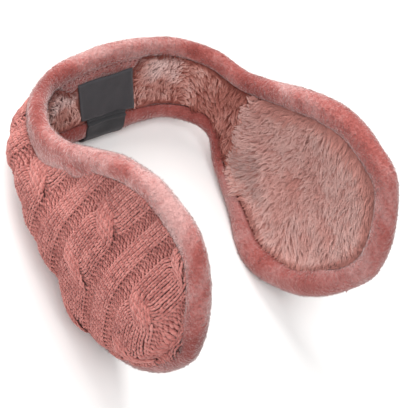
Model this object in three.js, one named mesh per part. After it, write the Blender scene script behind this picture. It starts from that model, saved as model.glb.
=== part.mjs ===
// Behind-the-head ear warmer: a padded band round the back of the head, with a dished cup for each ear.
// The outer side is knit, the inner side is plush, and a padded velour roll binds every edge.
// Millimetres. The wearer faces -Y, the wearer's left is +X and +Z is up. It rests leaning back on the floor.
//
// Every point is worked out first on the flat pattern of one half: `along` runs from the middle of the
// back towards the front of the cup, `up` runs across the band, and `out` stands off it, away from the head.

import * as THREE from 'three';

// ---------- Driving dimensions ----------

// Middle line of the band seen from above, as arcs that follow each other from the middle of the back.
const PLAN_ARCS = [
  { length: 28, turn: 6 },
  { length: 23, turn: 36 },
  { length: 23, turn: 42 },
  { length: 28, turn: 13 },
  { length: 37, turn: -8 },
  { length: 60, turn: -5 },
];

// How far the band's upper edge leans outwards, in degrees.
const LEANS = [
  { along: 0, lean: 5 },
  { along: 55, lean: 7 },
  { along: 101, lean: 6 },
  { along: 188, lean: 3 },
];

// Edges of the flat pattern: both start at the middle of the back, and they meet at the cup's front.
const UPPER_EDGE = [
  { along: 0, up: 23 },
  { along: 57, up: 16.5 },
  { along: 76, up: 14 },
  { along: 126, up: 33.5 },
  { along: 149, up: 34 },
  { along: 177, up: 20.5 },
];
const CUP_FRONT = { along: 186, up: -27 };
const LOWER_EDGE = [
  { along: 0, up: -26 },
  { along: 66, up: -27.5 },
  { along: 79, up: -42 },
  { along: 99, up: -56 },
  { along: 121, up: -71 },
  { along: 153, up: -65 },
];

// Velour roll: its width across the pattern and half its thickness, on the band and on the cups.
const ROLL_WIDTH = { band: 8.3, cup: 9 };
const ROLL_HALF = { band: 4.3, cup: 4.7 };
const ROLL_ROUND = 0.6; // share of the width that is rounded
const KNIT_SEAM = 0.75; // height of the knit's seam on the roll, as a share of half its thickness
const PLUSH_SEAM = 0.6; // depth of the plush's seam on the roll, as a share of half its thickness
const BAND_END = 69; // where the sizes start to change from the band's to the cup's
const CUP_START = 115; // where they have become the cup's

// Padding: how far the knit bulges out, and how far the plush is dished, between its seams.
const KNIT_BULGE = { band: 9, cup: 13 };
const PLUSH_DISH = 8;
const BAND_HEIGHT = 48; // a section no taller than this has the band's bulge and no dish
const FULLNESS = 4; // power of the bulge across a section: higher is flatter with steeper sides
const SAG = 0.55; // how far the fullest place lies below the middle of a section
const END_ROUND = 0.8; // sections shorter than this share of the tallest one bulge less
const PLUSH_SHARE = 0.6; // share of the padding that is the plush's

// Label and its folded keeper, at the middle of the back.
const LABEL = { along: -2, up: -2.5, width: 36, height: 21, thick: 1.2 };
const KEEPER = { along: -1, width: 24, thick: 1 };

// How it rests: leaning back on the cups' lower lobes and the middle of the band, pressed a little flat there.
const BACK_TILT = 29.5; // degrees
const FLOOR_DEPTH = 22.8; // from the band's middle line at the back, square down to the floor
const GAP = 0.3; // clearance between pieces that touch
const SEAM_GAP = 0.45; // clearance between a roll and the panels sewn to it
const LAYER_GAP = 0.6; // clearance between the knit and the plush, square to the pattern

// Mesh density.
const STATIONS = 29; // along one half, from the middle of the back to the cup's front
const NECK_STATION = 11; // where the band's pieces meet the cup's
const ROWS = 10; // across a panel
const ROLL_STEPS = 8; // round the roll
const LABEL_STEPS = 8;
const EDGE_SAMPLES = 40; // measuring steps between two points of an edge

const KNIT = { color: 0xb8716d, roughness: 0.95, metalness: 0 };
const VELOUR = { color: 0xc48a86, roughness: 0.85, metalness: 0 };
const PLUSH_PALE = { color: 0xc19a91, roughness: 1, metalness: 0 };
const PLUSH_DEEP = { color: 0xa5665e, roughness: 1, metalness: 0 };
const CHARCOAL = { color: 0x45464a, roughness: 0.8, metalness: 0 };
const DARK_GREY = { color: 0x303134, roughness: 0.75, metalness: 0 };

// ---------- From the flat pattern to space ----------

const TILT = THREE.MathUtils.degToRad(-BACK_TILT);
const FLOOR_NORMAL = new THREE.Vector3(0, Math.sin(TILT), Math.cos(TILT));

// Point and heading of the band's middle line at a distance along one half.
function planAt(along) {
  const point = { x: 0, y: 0, heading: 0 };
  let left = along;
  for (const [index, arc] of PLAN_ARCS.entries()) {
    const last = index === PLAN_ARCS.length - 1;
    const length = last ? left : Math.min(arc.length, left);
    const turn = (THREE.MathUtils.degToRad(arc.turn) * length) / arc.length;
    const chord = turn === 0 ? length : (2 * Math.sin(turn / 2) * length) / turn;
    point.x += chord * Math.cos(point.heading + turn / 2);
    point.y -= chord * Math.sin(point.heading + turn / 2);
    point.heading += turn;
    left -= length;
  }
  return point;
}

function leanAt(along) {
  const next = LEANS.findIndex((row) => row.along > along);
  if (next < 0) return THREE.MathUtils.degToRad(LEANS.at(-1).lean);
  const from = LEANS[next - 1];
  const to = LEANS[next];
  const share = (along - from.along) / (to.along - from.along);
  return THREE.MathUtils.degToRad(THREE.MathUtils.lerp(from.lean, to.lean, share));
}

// The soft rolls that meet the floor are pressed flat on it.
function pressedFlat(point) {
  const height = point.dot(FLOOR_NORMAL) + FLOOR_DEPTH;
  return height < 0 ? point.addScaledVector(FLOOR_NORMAL, -height) : point;
}

function place({ along, up, out }) {
  const { x, y, heading } = planAt(Math.abs(along));
  const lean = leanAt(Math.abs(along));
  const level = up * Math.sin(lean) + out * Math.cos(lean);
  const point = new THREE.Vector3(
    x + level * Math.sin(heading),
    y + level * Math.cos(heading),
    up * Math.cos(lean) - out * Math.sin(lean),
  );
  if (along < 0) point.x *= -1;
  return pressedFlat(point);
}

// Value that changes smoothly from the band's to the cup's.
function bandToCup(sizes, along) {
  const share = THREE.MathUtils.smoothstep(Math.abs(along), BAND_END, CUP_START);
  return THREE.MathUtils.lerp(sizes.band, sizes.cup, share);
}

// ---------- Outline of the pattern ----------

const HALF_OUTLINE = [...UPPER_EDGE, CUP_FRONT, ...LOWER_EDGE.toReversed()];
const OTHER_HALF = HALF_OUTLINE.slice(1, -1).toReversed().map(({ along, up }) => ({ along: -along, up }));
const OUTLINE = new THREE.CatmullRomCurve3(
  [...HALF_OUTLINE, ...OTHER_HALF].map(({ along, up }) => new THREE.Vector3(along, up, 0)),
  true,
  'centripetal',
);
OUTLINE.arcLengthDivisions = EDGE_SAMPLES * OUTLINE.points.length;
const SAMPLED = OUTLINE.getLengths();
const FRONT_SHARE = SAMPLED[EDGE_SAMPLES * UPPER_EDGE.length] / SAMPLED.at(-1);
const HALF = 0.5;

// Point of the outline and the direction into the pattern there, at a share of the outline's length.
function outlineAt(share) {
  const point = OUTLINE.getPointAt(THREE.MathUtils.euclideanModulo(share, 1));
  const tangent = OUTLINE.getTangentAt(THREE.MathUtils.euclideanModulo(share, 1));
  return { along: point.x, up: point.y, inAlong: tangent.y, inUp: -tangent.x };
}

// Share of the outline at a station of its upper or lower edge; negative stations are on the other half.
function upperShare(station) {
  return (FRONT_SHARE * station) / STATIONS;
}

function lowerShare(station) {
  return HALF - ((HALF - FRONT_SHARE) * station) / STATIONS;
}

function inset(edge, distance) {
  return { along: edge.along + edge.inAlong * distance, up: edge.up + edge.inUp * distance };
}

// Section of the pattern at a station, from the lower edge to the upper one.
function sectionAt(station) {
  const side = station < 0 ? -1 : 1;
  const upper = outlineAt(upperShare(Math.abs(station)));
  const lower = outlineAt(lowerShare(Math.abs(station)));
  const height = Math.hypot(upper.along - lower.along, upper.up - lower.up);
  return { side, upper, lower, height };
}

const TALLEST = Math.max(...Array.from({ length: STATIONS }, (_, station) => sectionAt(station).height));

// ---------- Panels between the rolls ----------

// Points of a section inside the rolls, each with the outer and inner height of the padding there.
function panelRow(station, shift) {
  const { side, upper, lower, height } = sectionAt(station);
  const seamUp = inset(upper, bandToCup(ROLL_WIDTH, upper.along) + SEAM_GAP);
  const seamDown = inset(lower, bandToCup(ROLL_WIDTH, lower.along) + SEAM_GAP);
  const cup = THREE.MathUtils.clamp((height - BAND_HEIGHT) / (TALLEST - BAND_HEIGHT), 0, 1);
  const end = 1 - (1 - Math.min(1, height / (END_ROUND * TALLEST))) ** FULLNESS;
  const bulge = THREE.MathUtils.lerp(KNIT_BULGE.band, KNIT_BULGE.cup, Math.sqrt(cup)) * end;
  const dish = PLUSH_DISH * cup * end;
  return Array.from({ length: ROWS + 1 }, (_, row) => {
    const share = row / ROWS;
    const along = THREE.MathUtils.lerp(seamDown.along, seamUp.along, share) + shift;
    const up = THREE.MathUtils.lerp(seamDown.up, seamUp.up, share);
    const across = 2 * share - 1;
    const sagged = across + SAG * (1 - across ** 2);
    const crown = 1 - Math.abs(sagged) ** FULLNESS;
    const half = bandToCup(ROLL_HALF, along);
    const knit = KNIT_SEAM * half + bulge * crown;
    const plush = -PLUSH_SEAM * half + dish * crown;
    return { along: side * along, up, knit, plush, middle: THREE.MathUtils.lerp(plush, knit, PLUSH_SHARE) };
  });
}

// Closed solid from a block of points [column][row][layer], with layer 0 the inner and 1 the outer face.
function solidFromBlock(block) {
  const columns = block.length;
  const rows = block[0].length;
  const positions = block.flat(2).flatMap((point) => point.toArray());
  const at = (column, row, layer) => (column * rows + row) * 2 + layer;
  const triangles = [];
  const quad = (a, b, c, d) => triangles.push(a, b, c, a, c, d);
  for (let column = 0; column < columns - 1; column += 1) {
    for (let row = 0; row < rows - 1; row += 1) {
      quad(at(column, row, 1), at(column + 1, row, 1), at(column + 1, row + 1, 1), at(column, row + 1, 1));
      quad(at(column, row, 0), at(column, row + 1, 0), at(column + 1, row + 1, 0), at(column + 1, row, 0));
    }
    const top = rows - 1;
    quad(at(column, 0, 0), at(column + 1, 0, 0), at(column + 1, 0, 1), at(column, 0, 1));
    quad(at(column, top, 0), at(column, top, 1), at(column + 1, top, 1), at(column + 1, top, 0));
  }
  const end = columns - 1;
  for (let row = 0; row < rows - 1; row += 1) {
    quad(at(0, row, 0), at(0, row, 1), at(0, row + 1, 1), at(0, row + 1, 0));
    quad(at(end, row, 0), at(end, row + 1, 0), at(end, row + 1, 1), at(end, row, 1));
  }
  return facingOut(positions, triangles);
}

// Geometry whose triangles face outwards, whichever way its points run.
function facingOut(positions, triangles) {
  const corner = (index) => new THREE.Vector3().fromArray(positions, 3 * index);
  let volume = 0;
  for (let first = 0; first < triangles.length; first += 3) {
    const [a, b, c] = triangles.slice(first, first + 3).map(corner);
    volume += a.dot(b.cross(c));
  }
  if (volume < 0) triangles.reverse();
  const geometry = new THREE.BufferGeometry();
  geometry.setAttribute('position', new THREE.Float32BufferAttribute(positions, 3));
  geometry.setIndex(triangles);
  geometry.computeVertexNormals();
  return geometry;
}

// Whole stations from one to another, both counted in.
function stationRange(from, to) {
  return Array.from({ length: to - from + 1 }, (_, index) => from + index);
}

// Panel between two layers of the padding. Its first and last columns are shifted to leave a gap at the neck.
function panel(stations, shifts, lowLayer, highLayer) {
  const block = stations.map((station, column) => {
    const end = column === 0 ? shifts.first : 0;
    const shift = column === stations.length - 1 ? shifts.last : end;
    return panelRow(station, shift).map((point) => [
      place({ along: point.along, up: point.up, out: lowLayer(point) }),
      place({ along: point.along, up: point.up, out: highLayer(point) }),
    ]);
  });
  return solidFromBlock(block);
}

const plushFace = (point) => point.plush;
const plushBack = (point) => point.middle - LAYER_GAP / 2;
const knitBack = (point) => point.middle + LAYER_GAP / 2;
const knitFace = (point) => point.knit;

const BAND_STATIONS = stationRange(-NECK_STATION, NECK_STATION);
const BAND_SHIFTS = { first: -GAP / 2, last: -GAP / 2 };
const CUP_SHIFTS = { first: GAP / 2, last: 0 };

function cupStations(side) {
  return stationRange(NECK_STATION, STATIONS - 1).map((station) => side * station);
}

// ---------- Rolls ----------

// Section of the roll as points { inwards, out }, swollen by a margin: round outside, flat where panels meet.
function rollSection(along, margin) {
  const width = bandToCup(ROLL_WIDTH, along);
  const half = bandToCup(ROLL_HALF, along);
  const round = ROLL_ROUND * width;
  const arc = Array.from({ length: ROLL_STEPS + 1 }, (_, step) => {
    const angle = Math.PI * (step / ROLL_STEPS - HALF);
    return {
      inwards: round - (round + margin) * Math.cos(angle),
      out: (half + margin) * Math.sin(angle),
    };
  });
  return [
    { inwards: width, out: -PLUSH_SEAM * half - margin },
    ...arc,
    { inwards: width, out: KNIT_SEAM * half + margin },
  ];
}

// Closed roll that follows the outline through the given shares of it.
function roll(shares) {
  const rings = shares.map((share) => {
    const edge = outlineAt(share);
    return rollSection(edge.along, 0).map(({ inwards, out }) => place({ ...inset(edge, inwards), out }));
  });
  const size = rings[0].length;
  const positions = rings.flat().flatMap((point) => point.toArray());
  const triangles = [];
  for (let ring = 0; ring < rings.length - 1; ring += 1) {
    for (let step = 0; step < size; step += 1) {
      const next = (step + 1) % size;
      const [a, b] = [ring * size + step, ring * size + next];
      triangles.push(a, b, b + size, a, b + size, a + size);
    }
  }
  const lastRing = (rings.length - 1) * size;
  for (let step = 1; step < size - 1; step += 1) {
    triangles.push(0, step + 1, step);
    triangles.push(lastRing, lastRing + step, lastRing + step + 1);
  }
  return facingOut(positions, triangles);
}

// Shares of the outline from one station of an edge to another, drawn back at both ends.
function edgeShares(shareOf, from, to) {
  const shares = stationRange(from, to).map(shareOf);
  const back = (Math.sign(shares.at(-1) - shares[0]) * (GAP / 2)) / OUTLINE.getLength();
  return [shares[0] + back, ...shares.slice(1, -1), shares.at(-1) - back];
}

// Shares round the front of a cup, from the neck's upper side to its lower side, drawn back at both ends.
function cupShares(side) {
  const upper = stationRange(NECK_STATION, STATIONS).map(upperShare);
  const lower = stationRange(NECK_STATION, STATIONS - 1).toReversed().map(lowerShare);
  const shares = [...upper, ...lower];
  const back = GAP / 2 / OUTLINE.getLength();
  const drawn = [shares[0] + back, ...shares.slice(1, -1), shares.at(-1) - back];
  return drawn.map((share) => side * share);
}

// ---------- Label and keeper ----------

function labelPatch() {
  const face = -PLUSH_SEAM * ROLL_HALF.band - GAP;
  const block = Array.from({ length: LABEL_STEPS + 1 }, (_, column) => {
    const along = LABEL.along + LABEL.width * (column / LABEL_STEPS - HALF);
    return [-HALF, HALF].map((share) => {
      const up = LABEL.up + LABEL.height * share;
      return [place({ along, up, out: face - LABEL.thick }), place({ along, up, out: face })];
    });
  });
  return solidFromBlock(block);
}

// Folded tab that starts under the label and wraps the band's lower roll to the knit's seam.
function keeperTab() {
  const labelFoot = LABEL.up - LABEL.height / 2 - GAP;
  const block = Array.from({ length: LABEL_STEPS + 1 }, (_, column) => {
    const along = KEEPER.along + KEEPER.width * (column / LABEL_STEPS - HALF);
    const foot = LOWER_EDGE[0].up + lowerRise(along);
    const layers = [GAP, GAP + KEEPER.thick].map((margin) => {
      const [seam, ...rest] = rollSection(along, margin);
      const start = { inwards: labelFoot - foot, out: seam.out };
      return [start, seam, ...rest];
    });
    return layers[0].map((_point, row) => layers.map((layer) => {
      const { inwards, out } = layer[row];
      return place({ along, up: foot + inwards, out });
    }));
  });
  return solidFromBlock(block);
}

// How far the lower edge has moved from its height at the middle of the back.
function lowerRise(along) {
  const share = HALF - Math.abs(along) / OUTLINE.getLength();
  return outlineAt(share).up - LOWER_EDGE[0].up;
}

// ---------- Assembly ----------

function mesh(name, geometry, finish) {
  const piece = new THREE.Mesh(geometry, new THREE.MeshStandardMaterial(finish));
  piece.name = name;
  return piece;
}

const earWarmer = new THREE.Group();
earWarmer.add(
  mesh('knit_band', panel(BAND_STATIONS, BAND_SHIFTS, knitBack, knitFace), KNIT),
  mesh('plush_band', panel(BAND_STATIONS, BAND_SHIFTS, plushFace, plushBack), PLUSH_DEEP),
  mesh('rim_band_upper', roll(edgeShares(upperShare, -NECK_STATION, NECK_STATION)), VELOUR),
  mesh('rim_band_lower', roll(edgeShares(lowerShare, -NECK_STATION, NECK_STATION)), VELOUR),
  mesh('label_patch', labelPatch(), CHARCOAL),
  mesh('keeper_tab', keeperTab(), DARK_GREY),
);
for (const [name, side] of [['left', 1], ['right', -1]]) {
  earWarmer.add(
    mesh(`knit_cup_${name}`, panel(cupStations(side), CUP_SHIFTS, knitBack, knitFace), KNIT),
    mesh(`plush_cup_${name}`, panel(cupStations(side), CUP_SHIFTS, plushFace, plushBack), PLUSH_PALE),
    mesh(`rim_cup_${name}`, roll(cupShares(side)), VELOUR),
  );
}

// It leans back, rests on the floor, and has the origin under the middle of its box.
earWarmer.rotation.x = TILT;
earWarmer.position.z = FLOOR_DEPTH;
const box = new THREE.Box3().setFromObject(earWarmer, true);
earWarmer.position.y -= box.getCenter(new THREE.Vector3()).y;

export default earWarmer;
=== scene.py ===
"""Looks of a behind-the-head ear warmer: cable knit outside, plush inside, bound all round by a velour roll.

Sizes are worked out in millimetres on the flat pattern of one half: `along` runs from the middle of the back
towards the front of a cup, `up` runs across the band, and `out` stands off it, away from the head. Every
finished point is in metres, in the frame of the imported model.
"""

import logging
import math
from dataclasses import dataclass, field, replace
from enum import Enum
from typing import Callable, ClassVar, Sequence

import bpy
import numpy as np
from mathutils import Matrix, Vector


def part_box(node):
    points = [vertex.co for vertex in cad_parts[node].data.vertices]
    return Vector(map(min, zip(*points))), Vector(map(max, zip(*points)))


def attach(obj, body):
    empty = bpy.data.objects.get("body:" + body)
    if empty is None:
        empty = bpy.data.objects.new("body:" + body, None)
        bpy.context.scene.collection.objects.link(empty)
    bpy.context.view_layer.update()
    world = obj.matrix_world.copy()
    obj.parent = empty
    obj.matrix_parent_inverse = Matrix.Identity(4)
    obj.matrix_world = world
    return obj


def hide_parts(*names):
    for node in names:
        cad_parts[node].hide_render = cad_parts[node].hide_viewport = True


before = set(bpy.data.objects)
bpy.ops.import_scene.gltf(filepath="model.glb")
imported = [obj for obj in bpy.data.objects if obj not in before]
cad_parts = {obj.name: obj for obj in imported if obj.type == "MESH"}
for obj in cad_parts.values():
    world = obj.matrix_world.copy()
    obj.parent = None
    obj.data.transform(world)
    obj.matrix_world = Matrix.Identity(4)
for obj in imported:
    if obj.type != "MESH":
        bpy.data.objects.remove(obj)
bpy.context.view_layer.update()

logging.basicConfig(level=logging.INFO, format="%(name)s %(message)s")
LOG = logging.getLogger("ear_warmer")
MM = 0.001
BODY = "root"

Array = np.ndarray
Pair = tuple[float, float]
Triple = tuple[float, float, float]
Row = tuple[float, ...]
Colour = Triple
OnPattern = Callable[[Array, Array], Array]
Random = np.random.Generator
Socket = bpy.types.NodeSocket


class Side(Enum):
    """Which of the wearer's ears a cup covers."""

    LEFT = 1
    RIGHT = -1

    @property
    def word(self) -> str:
        """The side's name as the nodes spell it."""
        return self.name.lower()


class Edge(Enum):
    """The two long edges of the band."""

    UPPER = "upper"
    LOWER = "lower"


class Face(Enum):
    """The two faces of the padding: the sign is the way the face looks along `out`."""

    KNIT = 1
    PLUSH = -1


def smooth(value: Array, low: float, high: float) -> Array:
    """Smooth step from 0 at low to 1 at high."""
    share = np.clip((np.asarray(value, float) - low) / (high - low), 0, 1)
    return share * share * (3 - 2 * share)


def mix(low: Array, high: Array, share: Array) -> Array:
    """Value a share of the way from low to high."""
    return low + (high - low) * share


def unit(vectors: Array) -> Array:
    """The vectors at a length of one."""
    return vectors / np.maximum(np.linalg.norm(vectors, axis=-1, keepdims=True), 1e-12)


# ---------- The flat pattern and its way into space ----------


@dataclass(frozen=True)
class Pattern:
    """Flat pattern of the ear warmer, in millimetres, with its way into the rest position."""

    plan_lengths: Row = (28, 23, 23, 28, 37, 60)
    plan_turns: Row = (6, 36, 42, 13, -8, -5)
    lean_along: Row = (0, 55, 101, 188)
    lean_degrees: Row = (5, 7, 6, 3)
    upper: tuple[Pair, ...] = ((0, 23), (57, 16.5), (76, 14), (126, 33.5), (149, 34), (177, 20.5))
    front: Pair = (186, -27)
    lower: tuple[Pair, ...] = (
        (0, -26), (66, -27.5), (79, -42), (99, -56), (121, -71), (153, -65),
    )
    roll_width: Pair = (8.3, 9.0)
    roll_half: Pair = (4.3, 4.7)
    band_end: float = 69
    cup_start: float = 115
    stations: int = 29
    neck_station: int = 11
    samples: int = 40
    back_tilt: float = 29.5
    floor_depth: float = 22.8
    label_along: Pair = (-20.0, 16.0)
    label_up: Pair = (-13.0, 8.0)
    label_out: Pair = (-4.08, -2.88)
    rest_back: float = 0.0

    def roll_width_at(self, along: Array) -> Array:
        """Width of the velour roll across the pattern."""
        return mix(*self.roll_width, smooth(np.abs(along), self.band_end, self.cup_start))

    def roll_half_at(self, along: Array) -> Array:
        """Half the thickness of the velour roll."""
        return mix(*self.roll_half, smooth(np.abs(along), self.band_end, self.cup_start))

    def plan_at(self, along: Array) -> tuple[Array, Array, Array]:
        """Point and heading of the band's middle line, seen from above.

        Args:
            along: distances from the middle of the back, none below zero.

        Returns:
            Sideways place, backward place and heading in radians.
        """
        x, y, heading = (np.zeros_like(along, dtype=float) for _ in range(3))
        left = along.astype(float)
        last = len(self.plan_lengths) - 1
        for index, (length, turn) in enumerate(zip(self.plan_lengths, self.plan_turns)):
            step = left if index == last else np.minimum(left, length)
            bend = math.radians(turn) * step / length
            half = np.where(np.abs(bend) < 1e-9, 1e-9, bend / 2)
            chord = step * np.sin(half) / half
            x = x + chord * np.cos(heading + bend / 2)
            y = y - chord * np.sin(heading + bend / 2)
            heading = heading + bend
            left = left - step
        return x, y, heading

    def place(self, along: Array, up: Array, out: Array) -> Array:
        """Points of the pattern in the rest position, in metres, kept above the floor.

        Args:
            along: distances from the middle of the back, negative on the wearer's right.
            up: heights across the band.
            out: distances off the pattern, away from the head.

        Returns:
            Array of points with a last axis of three.
        """
        along, up, out = np.broadcast_arrays(*(np.asarray(v, float) for v in (along, up, out)))
        x, y, heading = self.plan_at(np.abs(along))
        lean = np.radians(np.interp(np.abs(along), self.lean_along, self.lean_degrees))
        level = up * np.sin(lean) + out * np.cos(lean)
        height = up * np.cos(lean) - out * np.sin(lean)
        x = np.where(along < 0, -1.0, 1.0) * (x + level * np.sin(heading))
        y = y + level * np.cos(heading)
        tilt = math.radians(-self.back_tilt)
        rest_y = y * math.cos(tilt) - height * math.sin(tilt) + self.rest_back
        rest_z = y * math.sin(tilt) + height * math.cos(tilt) + self.floor_depth
        points = np.stack([x, rest_y, np.maximum(rest_z, 0)], axis=-1)
        return points * MM


def settled_pattern() -> Pattern:
    """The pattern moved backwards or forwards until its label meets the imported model's.

    Returns:
        The pattern that all the pieces follow.
    """
    loose = Pattern()
    along, up, out = (np.array(ends) for ends in (loose.label_along, loose.label_up, loose.label_out))
    corners = loose.place(along[:, None, None], up[:, None], out).reshape(-1, 3)
    low, high = (np.array(corner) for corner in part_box("label_patch"))
    shift = (low + high - corners.min(axis=0) - corners.max(axis=0)) / 2
    LOG.info("pattern meets the packed label to %.3f mm", np.abs(shift[[0, 2]]).max() / MM)
    return replace(loose, rest_back=float(shift[1]) / MM)


PATTERN = settled_pattern()


class Outline:
    """Closed edge of the pattern as a curve that can be walked by its length."""

    heading_parts: ClassVar[int] = 400

    def __init__(self, pattern: Pattern) -> None:
        """Samples the curve through the pattern's edge points.

        Args:
            pattern: the pattern whose edges are followed.
        """
        half = [*pattern.upper, pattern.front, *reversed(pattern.lower)]
        other = [(-along, up) for along, up in reversed(half[1:-1])]
        points = self._through(np.array([*half, *other], float), pattern.samples)
        self.stations = pattern.stations
        self.closed = np.vstack([points, points[:1]])
        steps = np.linalg.norm(np.diff(self.closed, axis=0), axis=1)
        self.lengths = np.concatenate([[0], np.cumsum(steps)])
        self.length = float(self.lengths[-1])
        self.front_share = float(self.lengths[pattern.samples * len(pattern.upper)]) / self.length

    @staticmethod
    def _through(knots: Array, samples: int) -> Array:
        """Closed centripetal Catmull-Rom curve through the knots.

        Args:
            knots: points of the plane.
            samples: points made for each stretch between two knots.

        Returns:
            The curve's points in order.
        """
        count = len(knots)
        share = np.linspace(0, 1, samples, endpoint=False)[:, None]
        stretches = []
        for index in range(count):
            before, start, end, after = (knots[(index + shift) % count] for shift in (-1, 0, 1, 2))
            gap0, gap1, gap2 = (
                math.sqrt(np.linalg.norm(b - a)) for a, b in ((before, start), (start, end), (end, after))
            )
            leave = ((start - before) / gap0 - (end - before) / (gap0 + gap1) + (end - start) / gap1) * gap1
            arrive = ((end - start) / gap1 - (after - start) / (gap1 + gap2) + (after - end) / gap2) * gap1
            square = 3 * (end - start) - 2 * leave - arrive
            cube = 2 * (start - end) + leave + arrive
            stretches.append(start + leave * share + square * share**2 + cube * share**3)
        return np.vstack(stretches)

    def _walked(self, spot: Array) -> Array:
        """Points of the curve at walked lengths, which may go past its end."""
        spot = np.mod(spot, self.length)
        return np.stack([np.interp(spot, self.lengths, self.closed[:, k]) for k in (0, 1)], axis=-1)

    def at(self, share: Array) -> tuple[Array, Array]:
        """Points of the outline and the directions into the pattern there.

        Args:
            share: shares of the outline's length.

        Returns:
            Points and unit directions, each with a last axis of two.
        """
        spot = np.mod(share, 1) * self.length
        reach = self.length / self.heading_parts
        run = unit(self._walked(spot + reach) - self._walked(spot - reach))
        return self._walked(spot), np.stack([run[..., 1], -run[..., 0]], axis=-1)

    def upper_share(self, station: Array) -> Array:
        """Share of the outline at a station of its upper edge."""
        return self.front_share * np.asarray(station, float) / self.stations

    def lower_share(self, station: Array) -> Array:
        """Share of the outline at a station of its lower edge."""
        return 0.5 - (0.5 - self.front_share) * np.asarray(station, float) / self.stations

    def neck_shares(self) -> Pair:
        """Shares of the outline at the left neck, on its upper and on its lower edge."""
        return float(self.upper_share(PATTERN.neck_station)), float(self.lower_share(PATTERN.neck_station))


OUTLINE = Outline(PATTERN)


@dataclass
class Chart:
    """Values on an even grid over one half of the pattern, read the same way on both halves."""

    size: ClassVar[tuple[int, int]] = (388, 240)

    values: Array = field(default_factory=lambda: np.zeros(Chart.size))
    low: Pair = (-1.0, -80.0)
    step: float = 0.5

    def axis(self, number: int) -> Array:
        """Places of the grid's points along its first or its second axis."""
        return self.low[number] + self.step * np.arange(self.values.shape[number])

    def cells(self, along: Array, up: Array) -> tuple[Array, Array]:
        """Columns and rows of places on the pattern, with their fractions."""
        return (np.abs(along) - self.low[0]) / self.step, (up - self.low[1]) / self.step

    def at(self, along: Array, up: Array) -> Array:
        """Values between the grid's points.

        Args:
            along: distances along the pattern, of either sign.
            up: heights across the band.

        Returns:
            One value for each place.
        """
        places = zip(self.cells(along, up), self.values.shape)
        column, row = (np.clip(place, 0, number - 1.001) for place, number in places)
        i, j = column.astype(int), row.astype(int)
        a, b = column - i, row - j
        near = mix(self.values[i, j], self.values[i, j + 1], b)
        far = mix(self.values[i + 1, j], self.values[i + 1, j + 1], b)
        return mix(near, far, a)


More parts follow.
